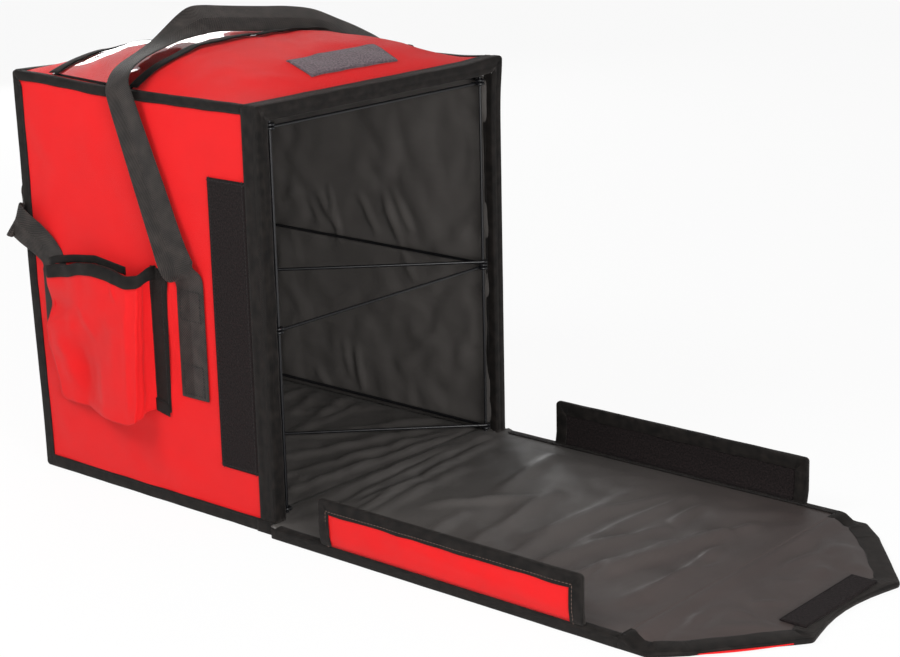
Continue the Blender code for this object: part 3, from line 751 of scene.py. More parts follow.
def bind_edge(name, corners, section, to_world, radius=0.004, step=0.006, wave=0.0004, seed=1.0,
              stitch_at=(), body="bag", thread=black_thread, widen=None, sewn_below=None):
    """A tape carried along an edge, a little uneven, with its stitch lines. Widen scales its legs."""
    def leg_share(at, inward):
        return widen(*at(0.0)) if widen and inward > 0.004 else 1.0

    stations = rounded_stations(corners, radius, step)
    outline = soften(section, 0.0018)
    rings = []
    for length, at in stations:
        ring = []
        for inward, height in outline:
            sway = wave * noise.noise(Vector((length / 0.030, inward / 0.02, seed + height / 0.02)))
            spot = at(inward * leg_share(at, inward) + sway)
            ring.append(to_world(spot.x, spot.y, height + sway * (1 if height > 0.003 else -1)))
        rings.append(ring)
    for inward, height in stitch_at:
        line = [to_world(*at(inward * leg_share(at, inward)), height) for _, at in stations]
        sew([spot for spot in line if sewn_below is None or spot[1] < sewn_below], body, thread)
    return sweep(name, rings, [length for length, _ in stations])


# %% [markdown]
# ## The padded walls
# Each wall is fabric, foam and lining sewn together at the edges, so its outer fabric is held flat at the
# tapes and stands a few millimetres proud between them. Where a fastener strip or a handle is sewn on, the
# stitching holds it down. One rule gives that bulge, and everything sewn to the side follows it too.

# %% Side, back and base fabric
side_puff = 0.0034
mouth_fold_y = front_y + 0.010
cloth_step = 0.006


def side_bulge(y, z):
    """How far the side's fabric stands out from the frame's flat face."""
    behind_strips = smooth_step(y, -0.085, -0.010)
    from_back = smooth_step(back_y - y, 0.0, 0.050)
    return side_puff * behind_strips * from_back * inside(z, 0.0, top_z, 0.060)


def side_ripples(y, z, seed):
    """Small hollows and puckers, none of them where the cloth is held down in front."""
    room = smooth_step(y, -0.100, -0.060) * smooth_step(back_y - y, 0.004, 0.030)
    room = room * inside(z, 0.004, top_z - 0.004, 0.026)
    return room * (0.0010 * ripple_grid(y, z, 0.060, seed) + 0.35 * wall_wrinkles(y - front_y, top_z - z))


def build_side_cloth(side, sign):
    edge = 0.0015

    def place(y, z):
        stand = half_width - cloth_thick / 2 + side_bulge(y, z) + side_ripples(y, z, 4 + sign)
        return sign * stand, y, z

    sheet = thick_sheet(f"{side}_side_cloth", spaced(front_y, back_y - edge, cloth_step),
                        spaced(tape_stand, top_z - edge, cloth_step), place, cloth_thick)
    finished(sheet, red_cloth, "bag", f"{side}_outer")


def build_back_cloth():
    edge = 0.0016
    reach = half_width - cloth_thick - gap

    def place(x, z):
        room = inside(x, -reach, reach, 0.05) * inside(z, 0, top_z, 0.06)
        puff = room * (0.0022 + 0.0008 * ripple_grid(x, z, 0.07, 9))
        return x, back_y - cloth_thick / 2 + puff, z

    sheet = thick_sheet("back_cloth", spaced(-reach, reach, cloth_step),
                        spaced(tape_stand, top_z - edge, cloth_step), place, cloth_thick)
    finished(sheet, red_cloth, "bag", "back_outer")


def build_base_cloth():
    low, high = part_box("base_outer")
    sheet = thick_sheet("base_cloth", spaced(low.x, high.x, 0.02), spaced(mouth_fold_y, high.y, 0.02),
                        lambda x, y: (x, y, cloth_thick / 2 + 0 * x), high.z - low.z)
    finished(sheet, red_cloth, "bag", "base_outer")


for side_name, side_sign in sides:
    build_side_cloth(side_name, side_sign)
build_back_cloth()
build_base_cloth()

# %% [markdown]
# ## The padded top
# The lid is thickly padded: it rises 33 mm over its seams. The frame gives that crown by a formula, and the
# cloth keeps its height but is fuller towards the back, with shallow puckers and creases.

# %% Top fabric
crown_rise = 0.033
crown_reach_x = 0.1697
crown_reach_y = 0.1527
crown_reach_back = 0.170


def crown(x, y):
    reach = np.where(y > 0, crown_reach_back, crown_reach_y)
    across = np.clip(1 - np.abs(x / crown_reach_x) ** 3.2, 0, 1)
    along = np.clip(1 - np.abs(y / reach) ** 3, 0, 1)
    return crown_rise * across * along


def top_height(x, y):
    """Height of the top's cloth, with its puckers."""
    room = inside(x, -crown_reach_x, crown_reach_x, 0.04) * inside(y, -crown_reach_y, crown_reach_y, 0.04)
    puckers = 0.0012 * ripple_grid(x, y, 0.055, 21) + 0.45 * wall_wrinkles(0.173 - y, 0.200 + x)
    return top_z + crown(x, y) + room * puckers


def build_top_cloth():
    reach = half_width - cloth_thick - gap
    sheet = thick_sheet("top_cloth", spaced(-reach, reach, 0.005), spaced(front_y, back_y - gap, 0.005),
                        lambda x, y: (x, y, top_height(x, y) - cloth_thick / 2), cloth_thick)
    finished(sheet, red_cloth, "bag", "top_outer")


build_top_cloth()

# %% [markdown]
# ## The clear window and the patch
# A sheet of clear plastic lies across the top for an address slip, held by a tape at its front and its back.
# It is looser than the cloth, so it lies in shallow waves, which is what breaks up its reflections.

# %% Window, its tapes and the patch
pane_low, pane_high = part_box("window_pane")
pane_back_y = 0.118
window_tape_low, window_tape_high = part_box("window_tape")
patch_low, patch_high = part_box("top_patch")


def flat_strip(name, xs, ys, height_at, thickness, edge=0.0):
    """A strip that lies on the top, its thickness even and its rim turned down a little."""
    def place(x, y):
        return x, y, height_at(x, y) + edge * inside(y, ys[0], ys[-1], 0.002)

    return thick_sheet(name, xs, ys, place, thickness)


def build_window():
    xs = spaced(pane_low.x, pane_high.x, 0.0035)

    def pane_height(x, y):
        room = smooth_step(y - pane_low.y, 0, 0.015) * smooth_step(pane_back_y - y, 0, 0.045)
        room = room * inside(x, -pane_high.x, pane_high.x, 0.02)
        slack = 0.0032 + 0.0046 * ripple_grid(x, 0.7 * y, 0.040, 31) + 0.0012 * ripple_grid(x, y, 0.017, 32)
        return top_height(x, y) + 0.0011 + room * np.maximum(slack, 0)

    pane = flat_strip("window_sheet", xs, spaced(pane_low.y - 0.004, pane_back_y + 0.004, 0.0035),
                      pane_height, 0.0005)
    finished(pane, pane_plastic, "bag", "window_pane")
    width = window_tape_high.y - window_tape_low.y
    for name, start, nodes in (("window_front_tape", window_tape_low.y, ("window_tape",)),
                               ("window_back_tape", pane_back_y - width / 3, ())):
        strip = flat_strip(name, xs, spaced(start, start + width, 0.002),
                           lambda x, y: top_height(x, y) + 0.0028 + 0.0009 * ripple_grid(x, y, 0.025, 33),
                           tape_thick, 0.0005)
        finished(strip, tape, "bag", *nodes)
        for y in (start + 0.002, start + width - 0.002):
            heights = top_height(xs[None, :], np.full((1, len(xs)), y))[0] + 0.003
            sew([(x, y, height) for x, height in zip(xs, heights)])


def build_patch():
    xs = spaced(patch_low.x, patch_high.x, 0.0025)
    ys = spaced(patch_low.y, patch_high.y, 0.0025)
    patch = flat_strip("lid_patch", xs, ys, lambda x, y: top_height(x, y) + 0.0010, 0.0014, 0.0006)
    finished(patch, loops, "bag", "top_patch")


build_window()
build_patch()

# %% [markdown]
# ## Tapes round the seams
# Every seam of the body is closed by a folded tape. The ones round the side faces turn over the edge on to
# the top, the back and the base. The rim of the mouth has a wide one, folded twice, whose edges show as
# raised lines.

# %% Edge tapes of the body
rim_outer = 0.019
rim_inner = 0.010


def build_side_tape(side, sign):
    leg = 0.011
    start = front_y + rim_outer - 0.003
    corners = [(start, tape_stand), (back_y, tape_stand), (back_y, top_z), (start, top_z)]
    strip = bind_edge(f"{side}_side_tape", corners, turned_section(leg, 0.006),
                      lambda y, z, depth: (sign * (half_width - depth), y, max(z, 0)), radius=0.003,
                      wave=0.0007, seed=5.0 + sign, stitch_at=[(leg - 0.002, -tape_stand)],
                      widen=lambda y, z: 1.12 - 0.40 * float(smooth_step(z, 0.405, 0.419)))
    finished(strip, tape, "bag", f"{side}_face_binding")


def build_rim_tape():
    inner = wall + tape_stand
    ridge = 0.0003
    stand = tape_stand + ridge
    section = [(-stand, -stand), (inner / 3, -stand - ridge), (inner / 2, -stand + ridge),
               (2 * inner / 3, -stand - ridge), (inner, -stand), (inner, rim_inner),
               (wall + gap, rim_inner), (wall + gap, -gap), (-gap, -gap), (-gap, rim_outer),
               (-stand, rim_outer), (-stand - ridge, 0.7 * rim_outer),
               (-stand + 0.5 * ridge, 0.55 * rim_outer),
               (-stand - ridge, 0.3 * rim_outer)]
    corners = [(half_width, base_top + gap), (half_width, top_z), (-half_width, top_z),
               (-half_width, base_top + gap)]
    strip = bind_edge("rim_tape", corners, section, lambda x, z, depth: (x, front_y + depth, z),
                      radius=0.003, wave=0.0006, seed=11.0,
                      stitch_at=[(-stand, rim_outer - 0.002), (inner, rim_inner - 0.002)])
    finished(strip, tape, "bag", "mouth_binding")
    for side, sign in sides:
        patch = thick_sheet(f"{side}_corner_patch", spaced(front_y - 0.0012, -0.150, 0.003),
                            spaced(0.0006, 0.0135, 0.003),
                            lambda y, z, sign=sign: (sign * (half_width + 0.0019), y, z), tape_thick)
        finished(patch, tape, "bag")


def build_back_top_tape():
    """Tape folded over the seam between the top and the back."""
    reach, leg = half_width - 0.003, 0.010
    strip = bind_edge("back_top_tape", [(reach, 0.0), (-reach, 0.0)], turned_section(leg, leg),
                      lambda x, inward, depth: (x, back_y + inward, top_z - depth), wave=0.0007, seed=15.0,
                      stitch_at=[(leg - 0.002, -tape_stand)])
    finished(strip, tape, "bag")


for side_name, side_sign in sides:
    build_side_tape(side_name, side_sign)
build_rim_tape()
build_back_top_tape()

# %% [markdown]
# ## The fastener strips on the sides
# The wings of the closed flap press on to these. Each is a woven tape full of hooks.

# %% Side strips


def build_side_strip(side, sign):
    low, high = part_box(f"{side}_side_strip")
    stand = half_width + gap + 0.0007

    def place(y, z):
        rim = np.minimum(inside(y, low.y, high.y, 0.003), inside(z, low.z, high.z, 0.003))
        return sign * (stand + 0.0003 * rim), y, z

    strip = thick_sheet(f"{side}_hook_strip", spaced(low.y, high.y, 0.0025), spaced(low.z, high.z, 0.0025),
                        place, 0.0010)
    finished(strip, hooks, "bag", f"{side}_side_strip")
    inset = 0.0025
    for y in (low.y + inset, high.y - inset):
        sew([(sign * (stand + 0.0006), y, z) for z in spaced(low.z, high.z, 0.02)])
    for z in (low.z + inset, high.z - inset):
        sew([(sign * (stand + 0.0006), y, z) for y in spaced(low.y, high.y, 0.01)])


for side_name, side_sign in sides:
    build_side_strip(side_name, side_sign)

# %% [markdown]
# ## Webbing
# A strap is a flat section carried through stations, each with a centre and the direction of the strap's
# width. A smooth curve goes through both, so the strap can lean, twist and fold without creasing.

# %% Webbing helper
strap_width = 0.038
strap_thick = 0.002


def through(values, share):
    """Catmull-Rom between the second and the third of four values."""
    before, start, end, after = values
    return 0.5 * (2 * start + (end - before) * share + (2 * before - 5 * start + 4 * end - after) * share ** 2
                  + (3 * start - before - 3 * end + after) * share ** 3)


def strap(name, stations, steps):
    """A strap through stations of (centre, direction of its width)."""
    values = [(Vector(centre), Vector(across)) for centre, across in stations]
    padded = [values[0]] + values + [values[-1]]
    smooth = []
    for index in range(len(values) - 1):
        around = padded[index:index + 4]
        for step in range(steps):
            smooth.append([through([pair[part] for pair in around], step / steps) for part in (0, 1)])
    smooth.append(list(values[-1]))
    half, thick = strap_width / 2, strap_thick / 2
    shares = (-1.0, -0.97, -0.9, -0.6, -0.3, 0.0, 0.3, 0.6, 0.9, 0.97, 1.0)
    upper = [(share * half, thick * (1 - 0.55 * abs(share) ** 16)) for share in shares]
    lower = [(side, -up) for side, up in reversed(upper)]
    rings, lengths, travelled = [], [], 0.0
    for index, (centre, across) in enumerate(smooth):
        ahead = smooth[min(index + 1, len(smooth) - 1)][0] - smooth[max(index - 1, 0)][0]
        across = (across - ahead * (across.dot(ahead) / ahead.length_squared)).normalized()
        normal = ahead.normalized().cross(across)
        rings.append([centre + across * side + normal * up for side, up in upper + lower])
        if index:
            travelled += (centre - smooth[index - 1][0]).length
        lengths.append(travelled)
    return sweep(name, rings, lengths)


def box_stitch(sign, centre_y, low):
    """The stitched rectangle, 28 x 30 mm, that holds a strap's end."""
    half, high = strap_width / 2 - 0.005, low + 0.030
    x = sign * (half_width + 0.0006 + strap_thick + gap)
    a, b, c, d = [(x, centre_y + dy, z) for dy, z in ((-half, low), (half, low), (half, high), (-half, high))]
    sew((a, b, c, d, a))


# %% [markdown]
# ## The front handle
# Its ends are sewn to the sides. From there the loop climbs past the top edge, leaning back further on the
# left, and stands over the top in a slack arch, where it lies over on its side.

# %% Front handle
handle_y = 0.5 * (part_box("front_handle_end_left")[0].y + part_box("front_handle_end_left")[1].y)
sewn_low, sewn_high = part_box("front_handle_end_left")[0].z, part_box("front_handle_end_left")[1].z
sewn_stand = gap + strap_thick / 2
# Where the front strap runs: a centre in millimetres, and the direction of its width.
left_leg = [
    (-180.8, -69.8, 244.5, -0.15, 0.98, -0.05), (-186.5, -66, 251, -0.3, 0.9, -0.25),
    (-188.5, -60, 263, -0.29, 0.88, -0.36), (-188, -51.5, 280.5, -0.22, 0.89, -0.385),
    (-187.2, -30.5, 330, -0.14, 0.9, -0.39), (-186.8, -9.5, 380, -0.05, 0.91, -0.39),
    (-186.2, 4.2, 412, 0, 0.92, -0.39), (-185, 9.5, 424, 0.05, 0.95, -0.3),
]
arch = [
    (-179, 13.5, 432.5, 0.08, 0.956, -0.292), (-167, 17.5, 440.4, 0.05, 0.97, -0.242),
    (-150, 21.5, 446.4, 0, 0.974, -0.225), (-128, 24.5, 452, 0, 0.985, -0.174),
    (-106, 26, 458.4, 0, 0.999, -0.052), (-86, 26.5, 465.2, 0, 0.978, 0.208),
    (-69, 26.5, 470.9, 0, 0.866, 0.5), (-56, 26.5, 474.2, 0, 0.766, 0.643),
    (-40, 26.5, 474.2, 0, 0.766, 0.643), (-15, 26.5, 471.5, 0, 0.78, 0.626), (15, 26, 468, 0, 0.785, 0.62),
    (45, 24, 464.8, 0, 0.788, 0.616), (75, 20, 461.8, 0, 0.788, 0.616), (105, 12, 456.5, 0, 0.819, 0.574),
    (132, 1, 446, 0.05, 0.88, 0.47), (154, -12, 436, 0.1, 0.94, 0.34), (171, -23, 427.5, 0.1, 0.985, 0.174),
    (182, -30, 420, 0.05, 1, 0),
]
right_leg = [
    (186.2, -35.5, 411, 0, 0.99, -0.14), (186.8, -43, 376, 0.02, 0.98, -0.19),
    (187, -54, 325, 0.06, 0.98, -0.19), (187.2, -63, 280, 0.12, 0.97, -0.18),
    (186.8, -68, 260, 0.16, 0.97, -0.14), (183.5, -70, 249, 0.12, 0.99, -0.08),
    (180, -70.8, 243.5, 0.05, 1, 0),
]


def bulge_at(y, z):
    return float(side_bulge(np.array(y), np.array(z)))


def sewn_stations(sign, y, top, bottom=sewn_low):
    """The straight end of a strap, flat on the side's cloth."""
    return [((sign * (half_width + sewn_stand + bulge_at(y, z)), y, z), (0, 1, 0))
            for z in spaced(bottom, top, 0.018)]


def build_front_handle():
    for sign in (-1, 1):
        box_stitch(sign, handle_y, sewn_low + 0.004)
        box_stitch(sign, handle_y, sewn_high - 0.040)
    right_end = list(reversed(sewn_stations(1, handle_y, sewn_high - 0.006)))
    free = [([length / 1000 for length in row[:3]], row[3:]) for row in left_leg + arch + right_leg]
    stations = sewn_stations(-1, handle_y, sewn_high - 0.006) + free + right_end
    handle = strap("front_strap", stations, 5)
    finished(handle, webbing, None, "front_handle", "front_handle_end_left",
             "front_handle_end_right")
    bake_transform(handle)


build_front_handle()

# %% [markdown]
# ## The rear handle
# The ends are sewn behind the pocket, run up towards the back edge and fold round it. The loop hangs down
# behind the bag between the two folds.

# %% Rear handle
rear_y, rear_root = 0.131, 0.150
rear_sewn_low = 0.160
rear_up, rear_drop = 0.046, 0.180
hang_y = back_y + tape_stand + 0.0042 + strap_width / 2
rear_lean = (0, 0.59, -0.81)
upright = (0, 0, -1)


def build_rear_handle():
    for side, sign in sides:
        stations = sewn_stations(sign, rear_y, sewn_high - 0.020, rear_sewn_low)
        stations += [((sign * 0.1795, 0.1345, 0.2330), (0, 0.97, -0.22)),
                     ((sign * 0.1825, 0.1410, 0.2445), (0, 0.86, -0.50)),
                     ((sign * 0.1865, 0.1520, 0.2555), (0, 0.70, -0.71)),
                     ((sign * 0.1895, 0.1650, 0.2640), (0, 0.62, -0.78)),
                     ((sign * 0.1905, 0.1766, 0.2713), rear_lean),
                     ((sign * 0.1870, 0.1815, 0.2712), rear_lean),
                     ((sign * 0.1800, 0.1850, 0.2715), (0, 0.50, -0.87)),
                     ((sign * 0.1730, 0.1890, 0.2745), (0, 0.40, -0.92)),
                     ((sign * 0.1650, 0.1945, 0.2830), (0, 0.15, -0.98)),
                     ((sign * 0.1570, hang_y - 0.0003, sewn_high + rear_up - 0.0006), upright),
                     ((sign * (rear_root + gap), hang_y, sewn_high + rear_up), upright)]
        end = strap(f"rear_strap_end_{side}", stations, 6)
        finished(end, webbing, "bag", f"rear_handle_end_{side}")
        box_stitch(sign, rear_y, rear_sewn_low + 0.004)
    loop_shares = [
        ((1.00, 0.000), upright), ((0.95, 0.002), upright), ((0.88, 0.030), (-0.10, 0.35, -0.90)),
        ((0.78, 0.120), (-0.30, 0.85, -0.45)),
        ((0.66, 0.30), (-0.20, 1, -0.15)), ((0.54, 0.50), (-0.10, 1, -0.05)), ((0.42, 0.70), (0, 1, 0)),
        ((0.27, 0.89), (0, 1, 0)), ((0.12, 0.98), (0, 1, 0)), ((0.00, 1.00), (0, 1, 0)),
    ]
    stations = [((-rear_root * root, hang_y, sewn_high + rear_up - rear_drop * drop), across)
                for (root, drop), across in loop_shares]
    mirrored = [((-centre[0], centre[1], centre[2]), (-across[0], across[1], across[2]))
                for centre, across in reversed(stations[:-1])]
    loop = strap("rear_strap", stations + mirrored, 6)
    finished(loop, webbing, "rear_handle", "rear_handle")


build_rear_handle()

# %% [markdown]
# ## The pocket
# A bellows pocket of the same red cloth. Its front sheet is pushed in below the middle and bulges towards
# the corners, so its depth is given at a few places and smoothed between them. A gusset closes its sides
# and bottom, and one tape binds its wavy top edge and runs on over the gusset to the bag.

# %% Pocket
pocket_share = np.array([0, 0.12, 0.25, 0.40, 0.55, 0.70, 0.85, 1.0])
pocket_rise = np.array([0, 0.15, 0.30, 0.42, 0.55, 0.70, 0.85, 1.0])
pocket_depth = np.array([
    [26.0, 27.0, 26.5, 23.5, 16.0, 7.0, 9.0, 8.0], [25.5, 27.0, 26.5, 24.5, 13.0, 3.0, 9.0, 9.0],
    [25.0, 26.5, 26.0, 23.0, 10.0, 2.5, 12.5, 10.5], [24.0, 26.0, 25.5, 19.5, 11.5, 9.5, 18.5, 14.0],
    [22.0, 25.0, 24.0, 19.5, 17.0, 19.5, 16.0, 11.0], [20.0, 23.0, 22.0, 20.5, 19.5, 15.0, 7.5, 4.5],
    [18.0, 21.0, 20.0, 19.5, 18.5, 16.0, 14.0, 12.5], [16.0, 19.0, 15.5, 17.5, 19.5, 18.5, 16.0, 14.5],
]) / 1000
# Start, end and half width in thousandths of the sheet, and height in millimetres.
pocket_folds = thousandths([
    (1020, 540, 600, 720, 30, 2), (620, 720, 460, 500, 40, 1.5), (260, 930, 200, 800, 20, 1.2),
    (100, 960, 90, 50, 30, 1),
])
pocket_columns, pocket_rows = 70, 72


def table_grid(table, shares, rises):
    """A smooth surface through a table of rows and columns."""
    rows = np.array([np.interp(shares, pocket_share, row) for row in table])
    return blur(np.array([np.interp(rises, pocket_rise, column) for column in rows.T]).T, 8)


def pocket_grids():
    """x, y and z of the front sheet, rows from bottom to top and columns from the mouth to the back."""
    shares, rises = np.linspace(0, 1, pocket_columns), np.linspace(0, 1, pocket_rows)
    share, rise = np.meshgrid(shares, rises)
    near_y = np.interp(rises, [0, 0.1, 0.5, 1], [-0.006, -0.009, -0.012, -0.010])[:, None]
    far_y = np.interp(rises, [0, 0.05, 0.35, 0.55, 1], [0.124, 0.129, 0.133, 0.139, 0.129])[:, None]
    y = near_y + share * (far_y - near_y)
    low = np.interp(shares, [0, 0.1, 0.7, 1], [0.088, 0.083, 0.084, 0.084])
    high = np.interp(shares, [0, 0.096, 0.175, 0.322, 0.457, 0.625, 0.741, 0.887, 1],
                     [0.2400, 0.2376, 0.2396, 0.2426, 0.2443, 0.2417, 0.2367, 0.2331, 0.2296])
    z = low + rise * (high - low)
    depth = table_grid(pocket_depth, shares, rises)
    depth = depth + 0.0007 * ripple_grid(y, z, 0.030, 41) + 0.5 * wall_wrinkles(0.20 + y, z)
    depth = depth + folds_height(share, rise, pocket_folds)
    return -half_width - gap - depth, y, blur(z, 4)


def edge_tape_path(x, y, z):
    """The pocket's top edge, round its front corner and over the gusset to the bag's side."""
    path = [Vector((x[-1, column], y[-1, column], z[-1, column])) for column in range(pocket_columns)][::-1]
    path += [Vector(spot) for spot in ((-0.1925, -0.0140, 0.2412), (-0.1912, -0.0175, 0.2440),
                                       (-0.1890, -0.0200, 0.2466), (-0.1855, -0.0215, 0.2480),
                                       (-0.1815, -0.0225, 0.2486), (-0.1795, -0.0230, 0.2488))]
    return path


def build_pocket():
    x, y, z = pocket_grids()
    points = np.stack([x, y, z], -1).reshape(-1, 3)
    faces = grid_faces(pocket_columns, pocket_rows)
    sheet = give_thickness(link_mesh("pocket_front_cloth", points, faces, points[:, 1:]), cloth_thick)
    finished(sheet, red_cloth, "bag", "pocket_sheet")
    build_gusset(points)
    build_pocket_top_tape(x, y, z)
    build_pocket_tapes()


def build_gusset(front):
    """Cloth from the front sheet to the side: down the mouth side, along the bottom and up the back."""
    gusset_y, gusset_top, gusset_foot = -0.017, 0.2480, 0.1010
    outer = [Vector(front[row * pocket_columns]) for row in range(pocket_rows - 1, -1, -2)]
    front_count = len(outer)
    outer += [Vector(front[column]) for column in range(1, pocket_columns, 2)]
    bottom_count = len(outer)
    outer += [Vector(front[row * pocket_columns + pocket_columns - 1]) for row in range(1, pocket_rows, 2)]
    inner = []
    for index, spot in enumerate(outer):
        if index < front_count:
            share = index / (front_count - 1)
            inner.append((-half_width - gap, gusset_y, gusset_top + share * (gusset_foot - gusset_top)))
        elif index < bottom_count:
            share = (index - front_count) / (bottom_count - front_count)
            inner.append((-half_width - gap - 0.003 * share, gusset_y + share * 0.143,
                          gusset_foot - 0.007 * share))
        else:
            inner.append((-half_width - gap - 0.0030, spot.y - 0.003, max(spot.z, 0.096)))
    depth_steps = 11
    points, spots, faces = [], [], []
    for index, (far, near) in enumerate(zip(outer, inner)):
        near = Vector((near[0] - bulge_at(near[1], near[2]), near[1], near[2]))
        for step in range(depth_steps):
            share = step / (depth_steps - 1)
            spot = far.lerp(near, share)
            fold = 0.0035 * math.sin(math.pi * share) - 0.0030 * math.exp(-((share - 0.30) / 0.12) ** 2)
            fold += 0.0010 * noise.noise(spot / 0.016) * math.sin(math.pi * share)
            middle = Vector((spot.x, 0.060, 0.165))
            points.append(spot + (middle - spot).normalized() * fold)
            spots.append((index * 0.005, share * 0.025))
            if index and step:
                corner = index * depth_steps + step
                faces.append((corner - depth_steps - 1, corner - 1, corner, corner - depth_steps))
    gusset = give_thickness(link_mesh("pocket_side_cloth", points, faces, spots), cloth_thick)
    finished(gusset, red_cloth, "bag", "pocket_gusset")


def build_pocket_top_tape(x, y, z):
    """A tape folded over the whole top edge, which leans as the cloth below it does."""
    path = edge_tape_path(x, y, z)
    leg = 0.0115
    fold = soften([(-0.0019, -leg), (-0.0007, -leg), (-0.0007, -0.0008), (0.0007, -0.0008), (0.0007, -leg),
                   (0.0019, -leg), (0.0019, 0.0015), (-0.0019, 0.0015)], 0.0010)
    rings, lengths, travelled = [], [], 0.0
    for index, spot in enumerate(path):
        ahead = path[min(index + 1, len(path) - 1)] - path[max(index - 1, 0)]
        outwards = Vector((-abs(ahead.y), -abs(ahead.x), 0)).normalized()
        slope = 0.0 if index >= pocket_columns else (x[-8, pocket_columns - 1 - index] - spot.x) / (
            z[-1, pocket_columns - 1 - index] - z[-8, pocket_columns - 1 - index])
        ring = []
        for across, up in fold:
            across += 0.0004 * noise.noise(Vector((travelled / 0.012, up / 0.01, 3)))
            ring.append(spot + outwards * across + Vector((slope * -up, 0, up)))
        rings.append(ring)
        if index:
            travelled += (spot - path[index - 1]).length
        lengths.append(travelled)
    finished(sweep("pocket_top_tape", rings, lengths), tape, "bag", "pocket_top_binding")
    sew([ring[0] + Vector((-0.0006, 0, 0.002)) for ring in rings[:pocket_columns]])


def face_strip(name, across, along, place, thickness, stand=0.0):
    """A flat strip on the left side, lying on its bulging cloth."""
    def on_side(a, b):
        y, z = place(a, b)
        rough = 0.0003 * ripple_grid(y, z, 0.012, 47)
        return -half_width - 0.0004 - thickness / 2 - stand - side_bulge(y, z) - np.abs(rough), y, z

    return finished(thick_sheet(name, across, along, on_side, thickness), tape, "bag")


def build_pocket_tapes():
    """The flat tape down the mouth side, its end folded under, and the one behind the pocket's mouth."""
    def side_place(a, z):
        top = np.clip((z - 0.2330) / 0.0170, 0, 1)
        width = (0.0205 + 0.0035 * (z - 0.100) / 0.134) * np.sqrt(np.maximum(1 - top ** 2, 0.02))
        return -0.0150 - 0.003 * np.clip((z - 0.225) / 0.02, 0, 1) - a * width, z

    edge = face_strip("pocket_side_tape", np.linspace(0, 1, 9), spaced(0.1000, 0.2498, 0.0035), side_place,
                      0.0012)
    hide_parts("pocket_edge_tape")
    face_strip("pocket_side_tape_end", np.linspace(0, 1, 9), spaced(0.1000, 0.1130, 0.0030),
               lambda a, z: (-0.0165 - a * 0.0180, z - 0.004 * a), 0.0012, 0.0013)
    for y in (-0.0180, -0.0330):
        sew([(-half_width - 0.0020 - bulge_at(y, z), y, z) for z in spaced(0.103, 0.236, 0.008)])

    def back_place(y, drop):
        top = np.interp(y, [0.020, 0.066, 0.100, 0.127, 0.137], [0.2425, 0.2480, 0.2440, 0.2388, 0.2350])
        return y, top - drop

    face_strip("pocket_back_tape", spaced(0.020, 0.137, 0.004), spaced(0, 0.008, 0.002), back_place, 0.0010)


build_pocket()

# %% [markdown]
# ## The lining
# The inside is thin coated cloth over foam. It is cut a little larger than the wall, so it lies in shallow
# wrinkles that start where the wires and the seams hold it.

# %% Lining of the walls
# Every fold below: start, end, half width and height, in millimetres.
side_folds = thousandths([
    (84, 254, 54, 212, 4, 3.4), (66, 262, 49, 193, 3.5, 3.6), (100, 245, 78, 212, 4, 2.4),
    (20, 258, -8, 212, 4.5, 3.6), (-16, 264, -42, 206, 4.5, 3.8), (-30, 270, -60, 219, 4.5, 3.6),
    (-38, 208, -64, 164, 5, 3), (31, 78, 23, 20, 4.5, 3.6), (98, 36, 75, 18, 4, 2.6),
    (52, 84, 41, 35, 4.5, 3.4), (142, 232, 112, 251, 5, 2.6), (-80, 330, 100, 300, 12, 2),
    (-100, 120, -30, 60, 7, 2.8), (0, 160, 70, 120, 7, 2.2),
])
back_folds = thousandths([
    (-120, 300, 20, 210, 8, 3), (100, 120, 20, 30, 8, 3), (-100, 100, -30, 160, 7, 3),
])
base_folds = thousandths([
    (100, 96, 162, 111, 6, 3.6), (50, 40, 158, 85, 7, 4.2), (-5, -10, 164, 45, 7, 4.4),
    (30, 0, 150, 12, 5, 3.6), (20, 75, 110, 100, 6, 3.2), (-60, 20, 60, 60, 8, 3),
    (155, -150, -150, -120, 6, 5), (158, -140, -120, -80, 7, 5), (160, -125, -80, -30, 8, 4.6),
    (162, -100, 0, 0, 8, 4), (-155, -155, -60, -100, 6, 3),
])


def lining_panel(name, first, second, place, folds, nodes):
    """A lining sheet whose folds stand towards the room, and are flat at its edges."""
    def shaped(a, b):
        room = inside(a, *first, 0.012) * inside(b, *second, 0.012)
        rise = folds_height(a, b, folds) + 0.0016 + 0.0012 * ripple_grid(a, b, 0.05, len(name))
        rise = rise + 0.8 * wall_wrinkles(a - first[0], b - second[0])
        return place(a, b, np.maximum(rise, 0) * room)

    sheet = thick_sheet(name, spaced(*first, 0.004), spaced(*second, 0.004), shaped, 0.0008)
    finished(sheet, lining, "bag", *nodes)


def build_linings():
    depth = (front_y, inner_back + 0.0005)
    height = (base_top - 0.0008, ceiling)
    for side, sign in sides:
        lining_panel(f"{side}_side_lining", depth, height,
                     lambda y, z, rise, sign=sign: (sign * (inner_half + 0.0005 - rise), y, z), side_folds,
                     [f"{side}_lining"])
    lining_panel("back_wall_lining", (-inner_half, inner_half), height,
                 lambda x, z, rise: (x, inner_back + 0.0005 - rise, z), back_folds, ["back_lining"])
    lining_panel("base_wall_lining", (-inner_half, inner_half), (-0.157, inner_back),
                 lambda x, y, rise: (x, y, base_top - 0.0005 + rise), base_folds, ["base_lining"])
    lining_panel("top_wall_lining", (-inner_half, inner_half), (front_y, inner_back),
                 lambda x, y, rise: (x, y, ceiling + 0.0005 - rise), [], ["top_lining"])


build_linings()

# %% [markdown]
# ## The flap
# The front of the bag lies open on the floor: red cloth below, foam, and the same lining above. Its lining
# is slack and lies in broad folds that run across it. Both cloths run on into the mouth and bend there, so no
# gap opens at the fold when the flap closes.

# %% Flap
tongue_fold_y = fold_y + 0.0045
wire_levels = [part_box(f"rack_front_wire_{level}")[0].z for level in ("middle", "top")]
